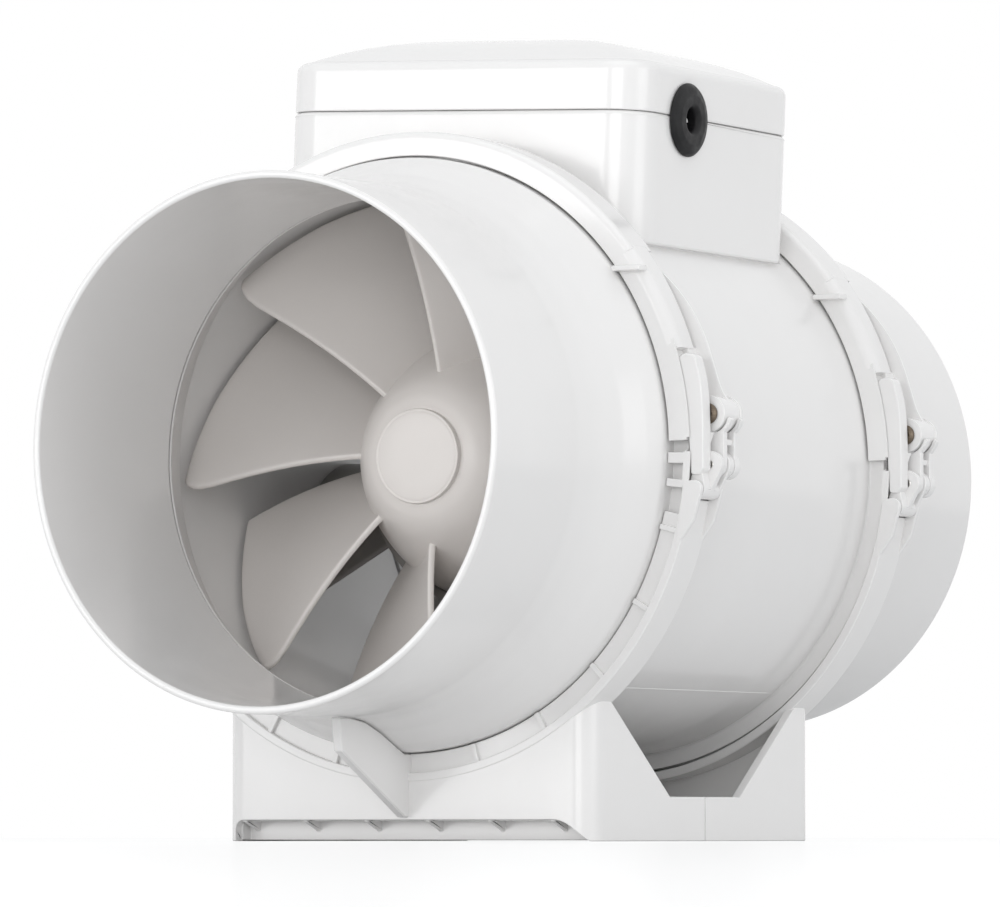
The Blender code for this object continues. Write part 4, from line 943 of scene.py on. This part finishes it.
def clamp_band(prefix, side):
    """Upper clamp: channel section, a smooth hood, two thin walls round the window below it, the hinge eye,
    and the arm with the catch barrel."""
    middle, wall, lip_r = side * CLAMP_V, BAND_WALL, BAND_LIP_R
    front, back = middle - BAND_HALF, middle + BAND_HALF

    band = arc(rounded([(lip_r, front, 0.35), (97.3, front, 2.2), (97.3, back, 1.2), (lip_r, back, 0.35),
                        (lip_r, back - wall, 0.35), (95.0, back - wall, 0.4), (95.0, front + wall, 0.4),
                        (lip_r, front + wall, 0.35)]), 37.4, BAND_END, 130, 0.3)
    hood = arc(rounded([(lip_r, front, 0.35), (97.6, front, 5.2), (97.6, back - 2.5, 1.6),
                        (lip_r, back - 2.5, 0.6), (lip_r, middle + 1.0), (94.0, middle + 1.0),
                        (94.0, front + wall), (lip_r, front + wall, 0.35)]), HOOD_START, HOOD_END, 40, 0.3)
    strip = arc(rounded([(lip_r, front, 0.35), (96.0, front), (96.0, front + wall, 0.35),
                         (lip_r, front + wall, 0.35)]), 1.1, 18.5, 30, 0.3)
    brim = arc(oblong(95.2, front + 0.02, 96.95, front + 0.38), 1.6, 18.4, 30)
    back_wall = arc(rounded([(lip_r, back - wall, 0.35), (95.9, back - wall, 0.5), (95.9, back, 0.6),
                             (lip_r, back, 0.35)]), 1.1, HOOD_END, 50, 0.3)
    floor = arc(rounded([(94.6, middle - 0.1, 0.3), (97.3, middle - 0.1, 0.5), (97.3, back - 0.2, 0.5),
                         (94.6, back - 0.2, 0.3)]), 4.0, 17.9, 30, 0.3)
    end_wall = arc(oblong(90.5, front + 0.5, 96.9, back - 3.2), 17.7, 19.3, 4)
    lip = box((73.0, front - 4.0, 52.2), (82.5, front + 1.0, 53.8), 0.4)
    tray = arc(oblong(93.6, front + 1.0, 95.4, middle + 0.2), 2.0, 18.2, 24)
    eye_line = convex([(-95.6, 22.0), (-95.4, 9.0)] + circle(HINGE, 5.0, 48))
    eye = plate(eye_line, middle - 4.9, middle + 4.9, 0.4)
    arm_line = smooth_curve([(80.4, 53.5), (86.0, 48.0), (91.4, 41.0), (95.6, 33.0), (98.4, 25.0),
                             (101.0, 17.5), (104.4, 12.2)])
    arm_line += arc_points(CATCH, 5.3, 15, -100, 14) + [(91.0, 12.0), (84.5, 41.4)]
    arm = plate(arm_line, middle + 5.4, middle + 6.8, 0.35)
    barrel = plate(circle(CATCH, 5.4, 56), middle, middle + 10.6, 0.45)
    collar = plate(circle(CATCH, 5.9, 56), middle + 9.5, middle + 10.7, 0.35)
    hinge_hole = plate(circle(HINGE, HINGE_HOLE, 32), middle - 8, middle + 8, 0.0)
    catch_hole = plate(circle(CATCH, 1.7, 32), middle - 8, middle + 4.8, 0.0)
    parts = add(hood, end_wall, tray, strip, brim, back_wall, floor, lip, eye, arm, barrel, collar)
    whole = carve(band, parts + cut(hinge_hole, catch_hole))
    show(f"{prefix}_clamp_band", whole, GLOSS, f"{prefix}_band")
    catch_bolt(f"{prefix}_catch_bolt", middle - 0.2, middle + 4.5, f"{prefix}_catch_screw")


def catch_bolt(name, seat, tip, node):
    """Pan head screw in the catch barrel, with a cross recess; its head stands in front of the seat."""
    x, z = CATCH
    head_r, shank_r = 3.1, 1.4
    face = seat - SCREW_HEAD
    line = [(0.0, face + 0.05), (head_r * 0.5, face), (head_r * 0.85, face + 0.12), (head_r, face + 0.45),
            (head_r, seat), (shank_r, seat), (shank_r, tip), (0.0, tip)]
    body = spun(line, 40)
    bmesh.ops.translate(body, verts=body.verts, vec=(x, 0, z))
    cross = [box((x - dx, face - 0.5, z - dz), (x + dx, face + SCREW_HEAD * 0.6, z + dz), 0.0)
             for dx, dz in ((head_r * 0.55, head_r * 0.14), (head_r * 0.14, head_r * 0.55))]
    # the darker steel is painted shade of the screw head in its barrel
    show(name, carve(body, cut(*cross)), STEEL_IN_PAINTED_SHADE, node)


def pin(name, centre, radius, low, high, node):
    """Plain steel pin with a turned chamfer at each end."""
    show(name, plate(circle(centre, radius, 32), low, high, 0.3), STEEL, node)


def lever(prefix, side):
    """Hand lever: the long bar beside the window, its boss, two cranks and the knuckle for the link."""
    middle = side * CLAMP_V
    bar_line = rounded([(97.0, -8.4, 0.9), (96.4, 1.0, 40.0), (95.8, 10.6, 40.0), (94.6, 18.9, 40.0),
                        (92.9, 26.3, 0.9), (94.7, 27.6, 2.0), (98.4, 27.2, 2.2), (99.4, 23.5, 12.0),
                        (100.4, 19.5, 20.0), (101.0, 14.0, 20.0), (101.3, 5.0, 20.0), (101.3, -6.8, 1.4),
                        (99.8, -8.4, 1.0)])
    bar = plate(bar_line, middle - 6.4, middle - 1.3, 0.7)
    neck_line = convex(circle(LEVER_PIVOT, 2.9, 40) + [(97.0, -7.5), (100.2, -7.5)])
    neck = plate(neck_line, middle - 5.1, middle - 1.2, 0.35)
    boss = plate(circle(LEVER_PIVOT, 2.9, 40), middle - 5.0, middle + 5.0, 0.3)
    crank = convex(circle(LEVER_PIVOT, 2.8, 40) + circle(LINK_PIVOT, 4.1, 40))
    front = plate(crank, middle - 1.5, middle + 0.9, 0.35)
    rear = plate(crank, middle + 3.6, middle + 5.1, 0.35)
    knuckle = plate(circle(LINK_PIVOT, 4.0, 48), middle + 3.8, middle + 7.2, 0.4)
    lever_hole = plate(circle(LEVER_PIVOT, LEVER_HOLE, 32), middle - 8, middle + 8, 0.0)
    link_hole = plate(circle(LINK_PIVOT, LINK_HOLE, 32), middle - 1.9, middle + 8, 0.0)
    whole = carve(bar, add(neck, boss, front, rear, knuckle) + cut(lever_hole, link_hole))
    show(f"{prefix}_clamp_lever", whole, GLOSS, f"{prefix}_lever")
    pin(f"{prefix}_link_pivot_pin", LINK_PIVOT, LINK_PIN, middle - 1.2, middle + 10.8, f"{prefix}_link_pin")


def link(prefix, side):
    """Two hooks, joined across, that reach from the knuckle round the catch barrel."""
    middle = side * CLAMP_V
    hook_tip, outer, inner = -16, 7.1, 5.8
    outline = arc_points(CATCH, outer, hook_tip, -50, 14) + arc_points(LINK_PIVOT, 3.6, 0, -180, 24)
    outline += arc_points(CATCH, inner, -78, hook_tip, 20)
    tip_centre = (CATCH[0] + 6.45 * math.cos(math.radians(hook_tip)),
                  CATCH[1] + 6.45 * math.sin(math.radians(hook_tip)))
    outline += arc_points(tip_centre, 0.65, 160, -12, 7)[1:-1]
    front = plate(outline, middle + 1.1, middle + 3.4, 0.3)
    rear = plate(outline, middle + 7.5, middle + 9.6, 0.3)
    eye = plate(circle(LINK_PIVOT, 4.1, 48), middle + 7.4, middle + 11.0, 0.4)
    bridge = box((101.2, middle + 2.0, 0.6), (103.4, middle + 9.0, 2.4), 0.3)
    hole = plate(circle(LINK_PIVOT, LINK_HOLE, 32), middle - 8, middle + 12, 0.0)
    whole = carve(front, add(rear, eye, bridge) + cut(hole))
    show(f"{prefix}_clamp_link", whole, GLOSS, f"{prefix}_link")


# -------- everything that is shown

duct_spigot("inlet_duct_spigot", -1, "inlet_spigot")
duct_spigot("outlet_duct_spigot", 1, "outlet_spigot")
base_half("inlet_base_half", -1, "inlet_base")
base_half("outlet_base_half", 1, "outlet_base")
motor_casing()
terminal_lid()
grommet()
inlet_ring()
impeller()
guide_vanes()
lid_fixings()
for prefix, side in (("front", -1), ("rear", 1)):
    clamp_band(prefix, side)
    lever(prefix, side)
    link(prefix, side)
    middle = side * CLAMP_V
    pin(f"{prefix}_band_pivot_pin", HINGE, HINGE_PIN, middle - 7.4, middle + 7.4, f"{prefix}_hinge_pin")
    pin(f"{prefix}_lever_pivot_pin", LEVER_PIVOT, LEVER_PIN, middle - 6.3, middle + 6.3,
        f"{prefix}_lever_pin")

for node, item in frame["nodes"].items():
    item.data.materials.clear()
    item.data.materials.append(LOOK_OF[SLOT_OF[node]])


# -------- floor, light and camera

FLOOR_RADIUS, FLOOR_CENTRE = 2.6, (0.55, -1.0, 0.0)
FLOOR_GREY, FLOOR_GLOW = 0.30, 0.83  # what the camera sees: nearly white with soft shadows
FLOOR_MIRROR, FLOOR_BLUR = 0.25, 0.1
FLOOR_BOUNCE = 0.82  # what other rays meet
SKY_TINT = (0.965, 0.98, 1.0, 1.0)
SKY_FRONT, SKY_REAR = 0.72, 0.58
WHITE = (1.0, 1.0, 1.0, 1.0)
AIM = (0, 0, 0.1)
LIGHTS = (("front_left", (-0.9, -2.3, 0.35), 9.0, (1.2, 0.7)),  # name, place, watts and size
          ("front_right", (0.8, -2.3, 0.35), 9.0, (1.2, 0.7)),
          ("top", (0.3, -0.3, 1.9), 5.0, (1.6, 1.6)),
          ("side", (1.9, -0.1, 0.5), 5.0, (1.0, 0.9)))
CAMERA_PLACE = (1.07574, -1.89931, 0.00231)
CAMERA_TURN = (29.7097, 3.0721)  # azimuth and pitch in degrees
CAMERA_LENS = 254.82


def grey(level):
    return (level, level, level, 1.0)


def stage_floor():
    """Pale board that bounces light; the camera sees it nearly white, with a faint reflection."""
    bm = bmesh.new()
    bmesh.ops.create_circle(bm, cap_ends=True, segments=96, radius=FLOOR_RADIUS)
    bmesh.ops.translate(bm, verts=bm.verts, vec=FLOOR_CENTRE)
    item = scratch(bm, "floor")
    look = Look("pale_floor")
    nodes, links = look.nodes, look.links
    fill(look.shader, Base_Color=grey(FLOOR_GREY), Roughness=0.9, Specular_IOR_Level=0.0,
         Emission_Color=WHITE, Emission_Strength=FLOOR_GLOW)
    gloss = nodes.new("ShaderNodeBsdfGlossy")
    fill(gloss, Roughness=FLOOR_BLUR)
    sheen = nodes.new("ShaderNodeMixShader")
    fill(sheen, Fac=FLOOR_MIRROR)
    links.new(look.shader.outputs["BSDF"], sheen.inputs[1])
    links.new(gloss.outputs["BSDF"], sheen.inputs[2])
    bounce = nodes.new("ShaderNodeBsdfDiffuse")
    fill(bounce, Color=grey(FLOOR_BOUNCE))
    path = nodes.new("ShaderNodeLightPath")
    mix = nodes.new("ShaderNodeMixShader")
    links.new(path.outputs["Is Camera Ray"], mix.inputs["Fac"])
    links.new(bounce.outputs["BSDF"], mix.inputs[1])
    links.new(sheen.outputs["Shader"], mix.inputs[2])
    links.new(mix.outputs["Shader"], nodes["Material Output"].inputs["Surface"])
    item.data.materials.append(look.material)


def area_light(name, place, power, size):
    data = bpy.data.lights.new(name, "AREA")
    data.shape = "RECTANGLE"
    data.size, data.size_y = size
    data.energy = power
    item = bpy.data.objects.new(name, data)
    item.location = place
    item.rotation_euler = (Vector(AIM) - Vector(place)).to_track_quat("-Z", "Y").to_euler()
    bpy.context.scene.collection.objects.link(item)


def studio():
    """A light tent: a pale sky, a little brighter in front, that the camera and reflections see as white,
    and four broad soft lights."""
    scene = bpy.context.scene
    world = bpy.data.worlds.new("studio")
    scene.world = world
    world.use_nodes = True
    nodes, links = world.node_tree.nodes, world.node_tree.links
    shade = nodes["Background"]
    fill(shade, Color=SKY_TINT)
    place = nodes.new("ShaderNodeTexCoord")
    split = nodes.new("ShaderNodeSeparateXYZ")
    links.new(place.outputs["Generated"], split.inputs["Vector"])
    fall = nodes.new("ShaderNodeMapRange")
    fill(fall, From_Min=-1.0, To_Min=SKY_FRONT, To_Max=SKY_REAR)
    links.new(split.outputs["Y"], fall.inputs["Value"])
    links.new(fall.outputs["Result"], shade.inputs["Strength"])
    seen = nodes.new("ShaderNodeBackground")
    fill(seen, Color=WHITE, Strength=1.0)
    path = nodes.new("ShaderNodeLightPath")
    either = nodes.new("ShaderNodeMath")
    either.operation = "MAXIMUM"
    links.new(path.outputs["Is Camera Ray"], either.inputs[0])
    links.new(path.outputs["Is Glossy Ray"], either.inputs[1])
    mix = nodes.new("ShaderNodeMixShader")
    links.new(either.outputs["Value"], mix.inputs["Fac"])
    links.new(shade.outputs["Background"], mix.inputs[1])
    links.new(seen.outputs["Background"], mix.inputs[2])
    links.new(mix.outputs["Shader"], nodes["World Output"].inputs["Surface"])
    scene.view_settings.view_transform = "Standard"
    for light in LIGHTS:
        area_light(*light)


def camera():
    """The photograph's standpoint: low, from the inlet side, turned towards the levers."""
    data = bpy.data.cameras.new("camera")
    item = bpy.data.objects.new("camera", data)
    item.location = CAMERA_PLACE
    azimuth, pitch = (math.radians(a) for a in CAMERA_TURN)
    ahead = Vector((-math.sin(azimuth) * math.cos(pitch), math.cos(azimuth) * math.cos(pitch),
                    math.sin(pitch)))
    item.rotation_euler = ahead.to_track_quat("-Z", "Y").to_euler()
    data.lens = CAMERA_LENS
    data.sensor_width = 36.0
    data.clip_end = 50.0
    bpy.context.scene.collection.objects.link(item)
    bpy.context.scene.camera = item


stage_floor()
studio()
camera()
